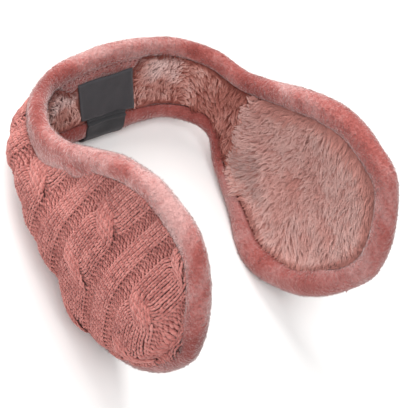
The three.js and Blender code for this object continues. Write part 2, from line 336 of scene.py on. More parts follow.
@dataclass
class Padding:
    """Shape of the padding between the rolls, as the heights of its knit and plush faces."""

    bulge: Pair = (9, 13)
    dish: float = 8
    band_height: float = 48
    fullness: float = 4
    sag: float = 0.55
    end_round: float = 0.8
    plush_share: float = 0.6
    knit_seam: float = 0.75
    plush_seam: float = 0.6
    seam_gap: float = 0.45
    half_gap: float = 0.3
    thinnest: float = 0.2
    slope_reach: float = 0.8
    chart_columns: int = 900
    chart_rows: int = 420
    chart_front_gap: float = 0.3
    chart_beyond: float = 0.2
    edge_points: int = 700
    spread_steps: int = 60
    even_steps: int = 2
    unrolled_size: tuple[int, int] = (388, 400)
    unrolled_low: Pair = (-1.0, -130.0)
    tallest: float = field(init=False)
    knit: Chart = field(init=False)
    plush: Chart = field(init=False)
    station: Chart = field(init=False)
    inside: Chart = field(init=False)
    unrolled: Chart = field(init=False)

    def __post_init__(self) -> None:
        """Charts both faces, the station and the distance from the edge over the pattern."""
        stations = np.arange(PATTERN.stations)
        upper, _ = OUTLINE.at(OUTLINE.upper_share(stations))
        lower, _ = OUTLINE.at(OUTLINE.lower_share(stations))
        self.tallest = float(np.linalg.norm(upper - lower, axis=1).max())
        station = np.linspace(0, PATTERN.stations - self.chart_front_gap, self.chart_columns)[:, None]
        share = np.linspace(-self.chart_beyond, 1 + self.chart_beyond, self.chart_rows)[None, :]
        along, up, knit, plush = self.section(station, share)
        self.knit, self.plush, self.station = (
            self._chart(along, up, np.broadcast_to(values, along.shape)) for values in (knit, plush, station)
        )
        self.inside = self._edge_chart()
        self.unrolled = self._unrolled()

    def section(self, station: Array, share: Array) -> tuple[Array, Array, Array, Array]:
        """Places between the rolls' seams and the heights of both faces there.

        Args:
            station: stations from the middle of the back, none below zero.
            share: shares from the lower seam to the upper one.

        Returns:
            Distances along, heights across, and the knit's and the plush's distance out.
        """
        top, top_in = OUTLINE.at(OUTLINE.upper_share(station))
        foot, foot_in = OUTLINE.at(OUTLINE.lower_share(station))
        height = np.linalg.norm(top - foot, axis=-1)
        top_inset = PATTERN.roll_width_at(top[..., 0]) + self.seam_gap
        foot_inset = PATTERN.roll_width_at(foot[..., 0]) + self.seam_gap
        top = top + top_in * top_inset[..., None]
        foot = foot + foot_in * foot_inset[..., None]
        along = mix(foot[..., 0], top[..., 0], share)
        up = mix(foot[..., 1], top[..., 1], share)
        cup = np.clip((height - self.band_height) / (self.tallest - self.band_height), 0, 1)
        end = 1 - (1 - np.minimum(1, height / (self.end_round * self.tallest))) ** self.fullness
        across = 2 * np.clip(share, 0, 1) - 1
        crown = 1 - np.abs(across + self.sag * (1 - across**2)) ** self.fullness
        half = PATTERN.roll_half_at(along)
        knit = self.knit_seam * half + mix(*self.bulge, np.sqrt(cup)) * end * crown
        plush = -self.plush_seam * half + self.dish * cup * end * crown
        return along, up, knit, plush

    def over(self, stations: Array, sides: Array, rows: int) -> tuple[Array, Array, Array, Array, Array]:
        """Places of one piece's padding, and how far out its knit, its plush and its middle are."""
        along, up, knit, plush = self.section(stations[:, None], np.linspace(0, 1, rows)[None, :])
        return along * sides[:, None], up, knit, plush, mix(plush, knit, self.plush_share)

    @staticmethod
    def _beside(values: Array, mode: str = "constant") -> Array:
        """Sum of the four cells beside each cell."""
        rim = np.pad(values, 1, mode=mode)
        return rim[:-2, 1:-1] + rim[2:, 1:-1] + rim[1:-1, :-2] + rim[1:-1, 2:]

    def _chart(self, along: Array, up: Array, values: Array) -> Chart:
        """Mean of scattered values in each cell, spread into the empty cells around them.

        Args:
            along: distances along the pattern.
            up: heights across the band.
            values: the value at each place.

        Returns:
            The chart of the values.
        """
        chart = Chart()
        shape, size = chart.values.shape, chart.values.size
        places = zip(chart.cells(along, up), shape)
        i, j = (np.clip(np.rint(place).astype(int), 0, number - 1) for place, number in places)
        cell = (i * shape[1] + j).ravel()
        weight = np.bincount(cell, minlength=size).reshape(shape).astype(float)
        total = np.bincount(cell, values.ravel(), minlength=size).reshape(shape)
        held = weight > 0
        known = np.where(held, total / np.maximum(weight, 1), 0)
        for _ in range(self.spread_steps):
            number = self._beside(held.astype(float))
            grow = ~held & (number > 0)
            known = np.where(grow, self._beside(known * held) / np.maximum(number, 1), known)
            held = held | grow
        for _ in range(self.even_steps):
            known = (4 * known + self._beside(known, "edge")) / 8
        chart.values = known
        return chart

    def _unrolled(self) -> Chart:
        """Charts the height across for a distance walked over the domed knit from the middle line.

        Returns:
            The chart, which is taller than the others.
        """
        chart = Chart(np.zeros(self.unrolled_size), low=self.unrolled_low)
        up, level = self.knit.axis(1), chart.axis(1)
        for i, heights in enumerate(self.knit.values):
            slope = np.gradient(heights, self.knit.step)
            walked = np.cumsum(np.sqrt(1 + slope**2)) * self.knit.step
            walked -= np.interp(0, up, walked)
            past_ends = np.minimum(level - walked[0], 0) + np.maximum(level - walked[-1], 0)
            chart.values[i] = np.interp(level, walked, up) + past_ends
        return chart

    def _edge_chart(self) -> Chart:
        """Charts the distance inside the outline, negative outside it.

        Returns:
            The chart.
        """
        chart = Chart()
        up = chart.axis(1)
        rows = np.arange(len(up))
        edge, inward = OUTLINE.at(np.linspace(0, 0.5, self.edge_points))
        gap_up = up[:, None] - edge[None, :, 1]
        for i, place in enumerate(chart.axis(0)):
            gap_along = place - edge[:, 0]
            square = gap_along[None, :] ** 2 + gap_up**2
            nearest = square.argmin(axis=1)
            inner = gap_along[nearest] * inward[nearest, 0] + gap_up[rows, nearest] * inward[nearest, 1]
            chart.values[i] = np.sqrt(square[rows, nearest]) * np.where(inner >= 0, 1, -1)
        return chart

    def height(self, face: Face, along: Array, up: Array) -> Array:
        """Distance out of a face of the padding."""
        return (self.knit if face is Face.KNIT else self.plush).at(along, up)

    def seam_room(self, along: Array, up: Array) -> Array:
        """Distance inwards from the nearest roll's seam, negative under the roll."""
        return self.inside.at(along, up) - PATTERN.roll_width_at(along)

    def surface(self, face: Face, along: Array, up: Array, rise: Array) -> Array:
        """Points at distances off a face, in metres."""
        return PATTERN.place(along, up, self.height(face, along, up) + face.value * rise)

    def jet(self, face: Face, along: Array, up: Array, rise: Array) -> tuple[Array, Array, Array]:
        """Points above a face with the face's directions there.

        Args:
            face: the face that they stand on.
            along: distances along the pattern.
            up: heights across the band.
            rise: distances off the face.

        Returns:
            Points, the steps in space for one unit along, and unit normals off the face.
        """
        reach = self.slope_reach
        step_along = self.surface(face, along + reach, up, 0) - self.surface(face, along - reach, up, 0)
        step_up = self.surface(face, along, up + reach, 0) - self.surface(face, along, up - reach, 0)
        normal = unit(np.cross(step_up, step_along)) * face.value
        points = self.surface(face, along, up, 0) + normal * (rise * MM)[..., None]
        points[..., 2] = np.maximum(points[..., 2], 0)
        return points, step_along / (2 * reach), normal


PADDING = Padding()


@dataclass(frozen=True)
class VelourReach:
    """How far the velour reaches beyond the rolls' seams, in millimetres, by distance along."""

    skirt_along: Row = (30, 50, 61, 68, 74, 80, 86, 91, 97, 104)
    skirt_width: Row = (0, 4, 3.7, 4.2, 6, 5.5, 4.5, 3.1, 2.2, 0)
    strip_along: Row = (-38, -27, 14, 19)
    strip_width: Row = (0, 8.2, 8.2, 0)
    fat_along: Row = (0, 12, 26, 42, 80, 98, 116, 132, 150, 168, 178)
    low_fat: Row = (2.5, 4.0, 2.5, 0, 0, 1.6, 3.4, 4.0, 2.6, 3.2, 1.6)
    high_fat: Row = (0, 0, 0, 0, 0.8, 1.6, 3.0, 3.2, 2.0, 2.8, 1.6)
    spill_along: Row = (90, 106, 124, 140, 176, 187)
    spill_width: Row = (0, 2.5, 4.5, 5.5, 5.0, 3.0)
    fat_rise: float = 0.3
    fat_bulge: float = 0.36
    fat_turn: Pair = (-29, -23)
    skirt_foot: float = -12
    spill_foot: Pair = (-5, 30)

    def skirt(self, along: Array, up: Array) -> Array:
        """Reach over the knit from the upper seam."""
        reach = np.interp(np.abs(along), self.skirt_along, self.skirt_width)
        return np.where(up > self.skirt_foot, reach, 0.0)

    def strip(self, along: Array, up: Array) -> Array:
        """Reach over the plush from the upper seam, above the label."""
        return np.where(up > 0, np.interp(along, self.strip_along, self.strip_width), 0.0)

    def fat(self, along: Array, up: Array) -> Array:
        """Extra width of the rolls on the plush side."""
        low, high = (np.interp(np.abs(along), self.fat_along, fat) for fat in (self.low_fat, self.high_fat))
        return mix(low, high, smooth(up, *self.fat_turn))

    def spill(self, along: Array, up: Array) -> Array:
        """Reach of the knit over the roll, along the cups' lower lobes."""
        return np.interp(np.abs(along), self.spill_along, self.spill_width) * smooth(-up, *self.spill_foot)

    def spill_share(self, along: Array, up: Array) -> Array:
        """That reach as a share of its greatest."""
        return self.spill(along, up) / max(self.spill_width)

    def knit_room(self, along: Array, up: Array) -> Array:
        """Distance inwards from the velour's edge on the knit side."""
        return PADDING.seam_room(along, up) - self.skirt(along, up) + self.spill(along, up)

    def plush_room(self, along: Array, up: Array) -> Array:
        """Distance inwards from the velour's edge on the plush side."""
        return PADDING.seam_room(along, up) - self.strip(along, up) - self.fat(along, up)


VELOUR = VelourReach()


# ---------- Mesh building ----------


@dataclass
class MeshParts:
    """Triangles gathered for one piece, with a tone, a reach and a flow for each point."""

    points: list[Array] = field(default_factory=list)
    triangles: list[Array] = field(default_factory=list)
    tones: list[Array] = field(default_factory=list)
    reaches: list[Array] = field(default_factory=list)
    flows: list[Array] = field(default_factory=list)
    normals: list[Array] = field(default_factory=list)
    count: int = 0

    def add(self, points: Array, triangles: Array, tone: Array, reach: Array, flow: Array | None = None,
            normals: Array | None = None) -> None:
        """Adds points and triangles.

        Args:
            points: points in metres.
            triangles: three point numbers for each triangle.
            tone: shade of each point from 0 to 1, or one for all.
            reach: how far from its root each point is, from 0 to 1, or one for all; where it is low the
                finishes paint shade, as on the yarn's underside and in the creases by the seams.
            flow: place along and round the fibre of each point.
            normals: soft shading normals, or None where the surface's own are right.
        """
        points = points.reshape(-1, 3)
        number = len(points)
        self.points.append(points)
        self.triangles.append(triangles.reshape(-1, 3) + self.count)
        self.tones.append(np.broadcast_to(np.asarray(tone, float).reshape(-1), (number,)))
        self.reaches.append(np.broadcast_to(np.asarray(reach, float).reshape(-1), (number,)))
        self.flows.append(np.zeros((number, 3)) if flow is None else flow.reshape(-1, 3))
        self.normals.append(np.zeros((number, 3)) if normals is None else normals.reshape(-1, 3))
        self.count += number

    def add_slab(self, front: Array, back: Array, tone: float, reach: Array | float = 0.0,
                 flow: Array | None = None) -> None:
        """Adds a closed slab between two grids of points, with the same values on both of its faces.

        Args:
            front: points [column, row] of the shown face.
            back: points [column, row] of the hidden face.
            tone: shade of all its points.
            reach: reach of each point of a face, or one for all.
            flow: flow of each point of a face.
        """
        reach = np.tile(np.broadcast_to(reach, front.shape[:2]).ravel(), 2)
        flow = None if flow is None else np.tile(flow.reshape(-1, 3), (2, 1))
        self.add(*grid_block(front, back), tone, reach, flow)

    def build(self, name: str) -> bpy.types.Object:
        """Makes the Blender object.

        Args:
            name: the object's name.

        Returns:
            The new object, in the scene.
        """
        points = np.vstack(self.points).astype(np.float32)
        triangles = np.vstack(self.triangles).astype(np.int32)
        mesh = bpy.data.meshes.new(name)
        mesh.vertices.add(len(points))
        mesh.vertices.foreach_set("co", points.ravel())
        mesh.loops.add(triangles.size)
        mesh.loops.foreach_set("vertex_index", triangles.ravel())
        mesh.polygons.add(len(triangles))
        mesh.polygons.foreach_set("loop_start", np.arange(0, triangles.size, 3, dtype=np.int32))
        mesh.polygons.foreach_set("use_smooth", np.ones(len(triangles), bool))
        for label, kind, parts in (
            ("tone", "FLOAT", self.tones),
            ("reach", "FLOAT", self.reaches),
            ("flow", "FLOAT_VECTOR", self.flows),
        ):
            attribute = mesh.attributes.new(label, kind, "POINT")
            values = np.concatenate(parts).astype(np.float32).ravel()
            attribute.data.foreach_set("vector" if kind == "FLOAT_VECTOR" else "value", values)
        mesh.update(calc_edges=True)
        mesh.validate()
        soft = np.concatenate(self.normals).astype(np.float32)
        if np.abs(soft).max() > 0:
            mesh.normals_split_custom_set_from_vertices(soft)
        piece = bpy.data.objects.new(name, mesh)
        bpy.context.scene.collection.objects.link(piece)
        return piece


def shares(columns: int, rows: int) -> Sequence[Array]:
    """Shares from 0 to 1 over the columns and over the rows of a grid."""
    return np.meshgrid(np.linspace(0, 1, columns), np.linspace(0, 1, rows), indexing="ij")


def flow_of(first: Array, second: Array | float = 0.0) -> Array:
    """Flow values with a last axis of three, from their first and second parts."""
    return np.stack(np.broadcast_arrays(first, second, 0.0), axis=-1)


def hoops(centre: Array, flat: Array, lift: Array, angle: Array) -> Array:
    """Rings of points round the points of a line, from the two radii of each ring."""
    cosine, sine = np.cos(angle)[:, None], np.sin(angle)[:, None]
    return centre[..., None, :] + flat[..., None, :] * cosine + lift[..., None, :] * sine


def ring_triangles(rings: int, sides: int) -> Array:
    """Triangles of one tube of rings with a flat cap at each end.

    Args:
        rings: number of rings.
        sides: number of points in each.

    Returns:
        Three point numbers for each triangle.
    """
    ring, side = np.meshgrid(np.arange(rings - 1), np.arange(sides), indexing="ij")
    a = ring * sides + side
    b = ring * sides + (side + 1) % sides
    walls = np.stack([a, b, b + sides, a, b + sides, a + sides], axis=-1).reshape(-1, 3)
    fan = np.arange(1, sides - 1)
    first = np.stack([np.zeros_like(fan), fan + 1, fan], axis=-1)
    last = np.stack([np.zeros_like(fan), fan, fan + 1], axis=-1) + (rings - 1) * sides
    return np.vstack([walls, first, last])


def spike_triangles(rings: int, sides: int) -> Array:
    """Triangles of one strand: rings that end in a single tip point.

    Args:
        rings: number of rings.
        sides: number of points in each.

    Returns:
        Three point numbers for each triangle.
    """
    tube = ring_triangles(rings, sides)
    kept = tube[: 2 * (rings - 1) * sides + sides - 2]
    side = np.arange(sides)
    last = (rings - 1) * sides
    tip = np.stack([last + side, last + (side + 1) % sides, np.full(sides, rings * sides)], axis=-1)
    return np.vstack([kept, tip])


def repeated(copies: Array, triangles: Array) -> Array:
    """Triangles of many closed copies of one shape.

    Args:
        copies: points of the copies, one copy after the other.
        triangles: three point numbers for each triangle of one copy.

    Returns:
        Triangles of all the copies, facing outwards.
    """
    first = copies[0].reshape(-1, 3)
    one = facing_out(first, triangles)
    return (one[None] + len(first) * np.arange(len(copies))[:, None, None]).reshape(-1, 3)


def grid_block(front: Array, back: Array) -> tuple[Array, Array]:
    """Closed solid between two grids of points.

    Args:
        front: points [column, row] of the shown face.
        back: points [column, row] of the hidden face.

    Returns:
        Points and triangles that face outwards.
    """
    columns, rows = front.shape[:2]
    number = np.arange(columns * rows).reshape(columns, rows)
    a, b, c, d = number[:-1, :-1], number[1:, :-1], number[1:, 1:], number[:-1, 1:]
    faces = np.stack([a, b, c, a, c, d], axis=-1).reshape(-1, 3)
    behind = faces[:, ::-1] + number.size
    loop = np.concatenate([number[:, 0], number[-1, 1:], number[-2::-1, -1], number[0, -2:0:-1]])
    ahead = np.roll(loop, -1)
    under, ahead_under = loop + number.size, ahead + number.size
    wall = np.stack([ahead, loop, under, ahead, under, ahead_under], axis=-1)
    points = np.concatenate([front.reshape(-1, 3), back.reshape(-1, 3)])
    triangles = np.vstack([faces, behind, wall.reshape(-1, 3)])
    return points, facing_out(points, triangles)


def facing_out(points: Array, triangles: Array) -> Array:
    """The triangles of a closed solid, all turned if its volume comes out negative.

    Args:
        points: points of the solid.
        triangles: three point numbers for each triangle.

    Returns:
        Triangles that face outwards.
    """
    a, b, c = (points.reshape(-1, 3)[triangles[:, k]] for k in range(3))
    volume = np.einsum("ij,ij->i", a, np.cross(b, c)).sum()
    return triangles[:, ::-1] if volume < 0 else triangles


@dataclass
class Waves:
    """Smooth random field over the pattern, made from a few plane waves."""

    seed: int
    length: float
    number: int = 7
    stretch: Pair = (0.7, 1.6)

    def at(self, along: Array, up: Array) -> Array:
        """Values of the field, mostly between -1 and 1.

        Args:
            along: distances along the pattern.
            up: heights across the band.

        Returns:
            One value for each place.
        """
        rng = np.random.default_rng(self.seed)
        total = np.zeros(np.broadcast(along, up).shape)
        for _ in range(self.number):
            angle, phase = rng.uniform(0, 2 * math.pi, 2)
            stretch = rng.uniform(*self.stretch)
            turn = 2 * math.pi / (self.length * stretch)
            total += np.sin(turn * (along * math.cos(angle) + up * math.sin(angle)) + phase)
        return total / math.sqrt(self.number)


@dataclass(frozen=True)
class Patch:
    """Oval patch of the pattern that fades outwards from its middle."""

    along: float
    up: float
    wide: float
    high: float

    def at(self, along: Array, up: Array) -> Array:
        """Values from 1 in the middle to 0 far away."""
        return np.exp(-(((along - self.along) / self.wide) ** 2) - ((up - self.up) / self.high) ** 2)


# ---------- Material nodes ----------


class Nodes:
    """Adds and links the nodes of a tree."""

    def __init__(self, tree: bpy.types.NodeTree) -> None:
        """Starts with a node tree."""
        self.tree = tree

    def add(self, kind: str, **settings: object) -> bpy.types.Node:
        """Adds a node.

        Args:
            kind: the node's type.
            settings: its properties.

        Returns:
            The node.
        """
        node = self.tree.nodes.new(kind)
        for name, value in settings.items():
            setattr(node, name, value)
        return node

    def link(self, source: Socket, target: Socket) -> None:
        """Links an output to an input."""
        self.tree.links.new(source, target)

    def put(self, value: object, target: Socket) -> None:
        """Sets an input's value.

        Args:
            value: the value, or a socket to link.
            target: the input.
        """
        if isinstance(value, Socket):
            self.link(value, target)
        else:
            target.default_value = value

    def math(self, operation: str, *values: object) -> Socket:
        """Adds a Math node.

        Args:
            operation: what it does.
            values: its values or sockets.

        Returns:
            Its output.
        """
        node = self.add("ShaderNodeMath", operation=operation)
        for value, target in zip(values, node.inputs):
            self.put(value, target)
        return node.outputs[0]

    def total(self, *terms: tuple[Socket, float]) -> Socket:
        """Sum of two values, each with its weight."""
        return self.math("ADD", *(self.math("MULTIPLY", *term) for term in terms))

    def shifted(self, value: Socket, other: Socket, weight: float) -> Socket:
        """A value moved up or down as another lies above or below a half."""
        return self.math("ADD", value, self.math("MULTIPLY", self.math("SUBTRACT", other, 0.5), weight))

    def blend(self, share: object, low: Socket | Colour, high: Socket | Colour) -> Socket:
        """Mixes two colours.

        Args:
            share: share of the second one.
            low: the first colour.
            high: the second colour.

        Returns:
            The mixed colour.
        """
        node = self.add("ShaderNodeMix", data_type="RGBA")
        self.put(share, node.inputs[0])
        for colour, target in ((low, node.inputs[6]), (high, node.inputs[7])):
            self.put((*colour, 1) if isinstance(colour, tuple) else colour, target)
        return node.outputs[2]

    def noise(self, place: Socket, scale: Socket, detail: float, rough: float) -> Socket:
        """A Noise texture's factor.

        Args:
            place: where the texture is read.
            scale: its scale.
            detail: number of finer layers.
            rough: strength of the finer layers.

        Returns:
            The factor, from 0 to 1.
        """
        node = self.add("ShaderNodeTexNoise")
        self.link(place, node.inputs["Vector"])
        self.put(scale, node.inputs["Scale"])
        node.inputs["Detail"].default_value = detail
        node.inputs["Roughness"].default_value = rough
        return node.outputs[0]

    def spread(self, value: Socket, low: float, high: float) -> Socket:
        """Stretches a value and keeps it from 0 to 1.

        Args:
            value: the value.
            low: what becomes 0.
            high: what becomes 1.

        Returns:
            The stretched value.
        """
        node = self.add("ShaderNodeMapRange", clamp=True)
        for item, target in zip((value, low, high), node.inputs):
            self.put(item, target)
        return node.outputs[0]

    def value_of(self, name: str) -> Socket:
        """The piece's own tone or reach."""
        return self.add("ShaderNodeAttribute", attribute_name=name).outputs["Fac"]

    def flow(self) -> Socket:
        """The piece's own flow."""
        return self.add("ShaderNodeAttribute", attribute_name="flow").outputs["Vector"]

    def parts_of(self, vector: Socket) -> Sequence[Socket]:
        """Splits a vector.

        Args:
            vector: the vector.

        Returns:
            Its three parts.
        """
        node = self.add("ShaderNodeSeparateXYZ")
        self.link(vector, node.inputs[0])
        return node.outputs


def group_tree(name: str, takes: dict[str, float | None], gives: Sequence[str]) -> tuple[Nodes, dict, dict]:
    """A new shader node group with its sockets.

    Args:
        name: the group's name.
        takes: the inputs with their usual values, None for a vector.
        gives: the outputs, which are plain values.

    Returns:
        The group's nodes, its input sockets by name, and its output sockets by name.
    """
    tree = bpy.data.node_groups.new(name, "ShaderNodeTree")
    for title, value in takes.items():
        kind = "NodeSocketVector" if value is None else "NodeSocketFloat"
        made = tree.interface.new_socket(name=title, in_out="INPUT", socket_type=kind)
        if value is not None:
            made.default_value = value
    for title in gives:
        tree.interface.new_socket(name=title, in_out="OUTPUT", socket_type="NodeSocketFloat")
    nodes = Nodes(tree)
    source = nodes.add("NodeGroupInput")
    target = nodes.add("NodeGroupOutput")
    return nodes, {s.name: s for s in source.outputs}, {s.name: s for s in target.inputs}


def fibre_mottle() -> bpy.types.NodeTree:
    """Node group for yarn and pile: uneven dye in soft patches with a fine grain of fibres over it.

    Returns:
        The group's tree.
    """
    nodes, takes, gives = group_tree(
        "fibre_mottle",
        {"Place": None, "Patch Scale": 40.0, "Grain Scale": 900.0, "Grain Share": 0.4},
        ("Mottle", "Grain"),
    )
    patches = nodes.spread(nodes.noise(takes["Place"], takes["Patch Scale"], 3.0, 0.55), 0.32, 0.68)
    grain = nodes.spread(nodes.noise(takes["Place"], takes["Grain Scale"], 3.0, 0.65), 0.3, 0.7)
    both = nodes.add("ShaderNodeMix", data_type="FLOAT")
    for source, target in ((takes["Grain Share"], 0), (patches, 2), (grain, 3)):
        nodes.link(source, both.inputs[target])
    nodes.link(both.outputs[0], gives["Mottle"])
    nodes.link(grain, gives["Grain"])
    return nodes.tree


def plain_weave() -> bpy.types.NodeTree:
    """Node group for woven ribbon: threads over and under each other, as a height and a mask of the gaps.

    Returns:
        The group's tree.
    """
    nodes, takes, gives = group_tree("plain_weave", {"Flow": None, "Threads": 1.4}, ("Height", "Gaps"))
    parts = nodes.parts_of(takes["Flow"])
    turns = nodes.math("MULTIPLY", takes["Threads"], math.pi)
    warp, weft = (nodes.math("SINE", nodes.math("MULTIPLY", parts[k], turns)) for k in (0, 1))
    over = nodes.math("MULTIPLY", warp, weft)
    ridges = nodes.math("MAXIMUM", *(
        nodes.math("MULTIPLY", nodes.math("ABSOLUTE", wave), nodes.spread(over, -edge, edge))
        for wave, edge in ((warp, 0.6), (weft, -0.6))
    ))
    nodes.link(ridges, gives["Height"])
    nodes.link(nodes.spread(ridges, 0.45, 0.1), gives["Gaps"])
    return nodes.tree


@dataclass(frozen=True)
class Groups:
    """The node groups that the materials share."""

    mottle: bpy.types.NodeTree
    weave: bpy.types.NodeTree


@dataclass(frozen=True)
class Cloth:
    """What a finish works with: its material's nodes, the shared groups, and the fibres' dye and grain."""

    nodes: Nodes
    groups: Groups
    mottle: Socket
    grain: Socket


@dataclass(frozen=True)
class Finish:
    """Base of the finishes: plain values of the surface, its mottle and the depth of its bump in metres."""

    name: str
    roughness: float
    sheen: float
    sheen_roughness: float
    sheen_tint: Colour
    specular: float = 0.25
    patch_scale: float = 40.0
    grain_scale: float = 900.0
    grain_share: float = 0.4
    bump_depth: float = 0.0002

    def make(self, groups: Groups) -> bpy.types.Material:
        """A new material with this finish.

        Args:
            groups: the shared node groups.

        Returns:
            The material.
        """
        material = bpy.data.materials.new(self.name)
        material.use_nodes = True
        nodes = Nodes(material.node_tree)
        nodes.tree.nodes.clear()
        shader = nodes.add("ShaderNodeBsdfPrincipled")
        nodes.link(shader.outputs[0], nodes.add("ShaderNodeOutputMaterial").inputs[0])
        shader.inputs["Roughness"].default_value = self.roughness
        shader.inputs["Sheen Weight"].default_value = self.sheen
        shader.inputs["Sheen Roughness"].default_value = self.sheen_roughness
        shader.inputs["Sheen Tint"].default_value = (*self.sheen_tint, 1)
        shader.inputs["Specular IOR Level"].default_value = self.specular
        fibres = nodes.add("ShaderNodeGroup", node_tree=groups.mottle)
        nodes.link(nodes.add("ShaderNodeTexCoord").outputs["Object"], fibres.inputs["Place"])
        fibres.inputs["Patch Scale"].default_value = self.patch_scale
        fibres.inputs["Grain Scale"].default_value = self.grain_scale
        fibres.inputs["Grain Share"].default_value = self.grain_share
        colour, height = self.dress(Cloth(nodes, groups, fibres.outputs["Mottle"], fibres.outputs["Grain"]))
        nodes.link(colour, shader.inputs["Base Color"])
        bump = nodes.add("ShaderNodeBump")
        bump.inputs["Strength"].default_value = 1.0
        bump.inputs["Distance"].default_value = self.bump_depth
        nodes.link(height, bump.inputs["Height"])
        nodes.link(bump.outputs[0], shader.inputs["Normal"])
        return material

    def dress(self, cloth: Cloth) -> tuple[Socket, Socket]:
        """Adds the nodes of one kind of cloth and gives its colour and height; each kind has its own."""
        raise NotImplementedError


@dataclass(frozen=True)
class YarnFinish(Finish):
    """Soft plied yarn with uneven dye, with painted shade in the grooves between its plies, on the yarn's
    underside and ends, and on the ground under the stitches.
    """

    patch_scale: float = 55.0
    grain_scale: float = 1500.0
    grain_share: float = 0.55
    bump_depth: float = 0.00022
    dark: Colour = (0.29, 0.08, 0.07)
    middle: Colour = (0.54, 0.19, 0.166)
    light: Colour = (0.65, 0.275, 0.245)
    # painted shade: colour of the yarn's underside and ends and of the ground under the stitches
    shade: Colour = (0.21, 0.05, 0.042)
    mottle_weight: float = 0.62
    middle_at: Pair = (0.12, 0.55)
    light_at: Pair = (0.5, 0.95)
    shade_at: Pair = (0.55, 0.05)
    ply_twist: float = 1.1
    # painted shade in the grooves between the plies: where it starts and how much of it shows
    ply_shade_at: Pair = (0.45, 0.0)
    ply_shade_share: float = 0.45
    ply_height: float = 0.6
    grain_height: float = 0.7

    def dress(self, cloth: Cloth) -> tuple[Socket, Socket]:
        """Adds the nodes of the yarn.

        Args:
            cloth: what they work with.

        Returns:
            The yarn's colour and height.
        """
        nodes = cloth.nodes
        flow = nodes.parts_of(nodes.flow())
        turns = nodes.math("ADD", nodes.math("MULTIPLY", flow[0], self.ply_twist), flow[1])
        plies = nodes.math("ABSOLUTE", nodes.math("SINE", nodes.math("MULTIPLY", turns, 2 * math.pi)))
        tone = nodes.value_of("tone")
        level = nodes.total((cloth.mottle, self.mottle_weight), (tone, 1 - self.mottle_weight))
        base = nodes.blend(nodes.spread(level, *self.middle_at), self.dark, self.middle)
        pale = nodes.blend(nodes.spread(level, *self.light_at), base, self.light)
        # painted shade: the colour darkens in the grooves between the plies
        ply_shaded = nodes.blend(nodes.spread(plies, *self.ply_shade_at), pale, self.dark)
        soft = nodes.blend(self.ply_shade_share, pale, ply_shaded)
        # painted shade from reach: darker on the yarn's underside, towards its ends and on the ground
        colour = nodes.blend(nodes.spread(nodes.value_of("reach"), *self.shade_at), soft, self.shade)
        return colour, nodes.total((plies, self.ply_height), (cloth.grain, self.grain_height))


@dataclass(frozen=True)
class VelourFinish(Finish):
    """Short brushed velour, lighter and darker in random brushed patches and with painted light and shade
    from place to place, and painted shade in its creases.
    """

    patch_scale: float = 30.0
    grain_scale: float = 620.0
    grain_share: float = 0.42
    bump_depth: float = 0.0005
    dark: Colour = (0.235, 0.044, 0.037)
    middle: Colour = (0.385, 0.108, 0.095)
    light: Colour = (0.53, 0.285, 0.27)
    # painted shade of the creases at the seams, under the knit's spill and on the sunken stitches
    crease: Colour = (0.15, 0.028, 0.022)
    mottle_weight: float = 0.45
    middle_at: Pair = (0.15, 0.5)
    light_at: Pair = (0.45, 0.8)
    crease_shade_at: Pair = (0.3, 0.05)

    def dress(self, cloth: Cloth) -> tuple[Socket, Socket]:
        """Adds the nodes of the velour.

        Args:
            cloth: what they work with.

        Returns:
            The velour's colour and height.
        """
        nodes = cloth.nodes
        tone = nodes.value_of("tone")
        level = nodes.total((cloth.mottle, self.mottle_weight), (tone, 1 - self.mottle_weight))
        base = nodes.blend(nodes.spread(level, *self.middle_at), self.dark, self.middle)
        # the light colour also shows the painted highlights that the tone carries
        brushed = nodes.blend(nodes.spread(level, *self.light_at), base, self.light)
        # painted shade: darker towards the seams
        seam_shade = nodes.spread(nodes.value_of("reach"), *self.crease_shade_at)
        return nodes.blend(seam_shade, brushed, self.crease), cloth.grain


@dataclass(frozen=True)
class PlushFinish(Finish):
    """Long soft pile in wavy locks, darker towards its roots, in warm and grey patches, with painted shade in
    the creases beside the rolls.
    """

    patch_scale: float = 60.0
    grain_scale: float = 1400.0
    root: Colour = (0.46, 0.19, 0.16)
    middle: Colour = (0.65, 0.345, 0.305)
    tip: Colour = (0.83, 0.535, 0.49)
    warm: Colour = (0.68, 0.29, 0.245)
    cool: Colour = (0.45, 0.285, 0.26)
    mottle_shift: float = 0.25
    tone_shift: float = 0.4
    middle_at: Pair = (0.0, 0.38)
    tip_at: Pair = (0.3, 0.95)
    warm_at: Pair = (0.0, 0.8)
    cool_at: Pair = (0.0, 0.55)
    rusty_at: Pair = (0.5, 1.0)
    ashen_at: Pair = (0.4, 0.0)
    patch_share: float = 0.9

    def dress(self, cloth: Cloth) -> tuple[Socket, Socket]:
        """Adds the nodes of the plush.

        Args:
            cloth: what they work with.

        Returns:
            The plush's colour and height.
        """
        nodes = cloth.nodes
        warmth = nodes.shifted(nodes.parts_of(nodes.flow())[0], cloth.mottle, self.mottle_shift)
        lifted = nodes.shifted(nodes.value_of("reach"), nodes.value_of("tone"), self.tone_shift)
        base = nodes.blend(nodes.spread(lifted, *self.middle_at), self.root, self.middle)
        pile = nodes.blend(nodes.spread(lifted, *self.tip_at), base, self.tip)
        # rusty colour: warm patches, and painted shade where the cups' warmth carries the crease by the rolls
        rusty = nodes.blend(nodes.spread(lifted, *self.warm_at), self.root, self.warm)
        ashen = nodes.blend(nodes.spread(lifted, *self.cool_at), self.root, self.cool)
        rosy = nodes.blend(nodes.spread(warmth, *self.rusty_at), pile, rusty)
        greyed = nodes.blend(nodes.spread(warmth, *self.ashen_at), rosy, ashen)
        return nodes.blend(self.patch_share, pile, greyed), cloth.grain


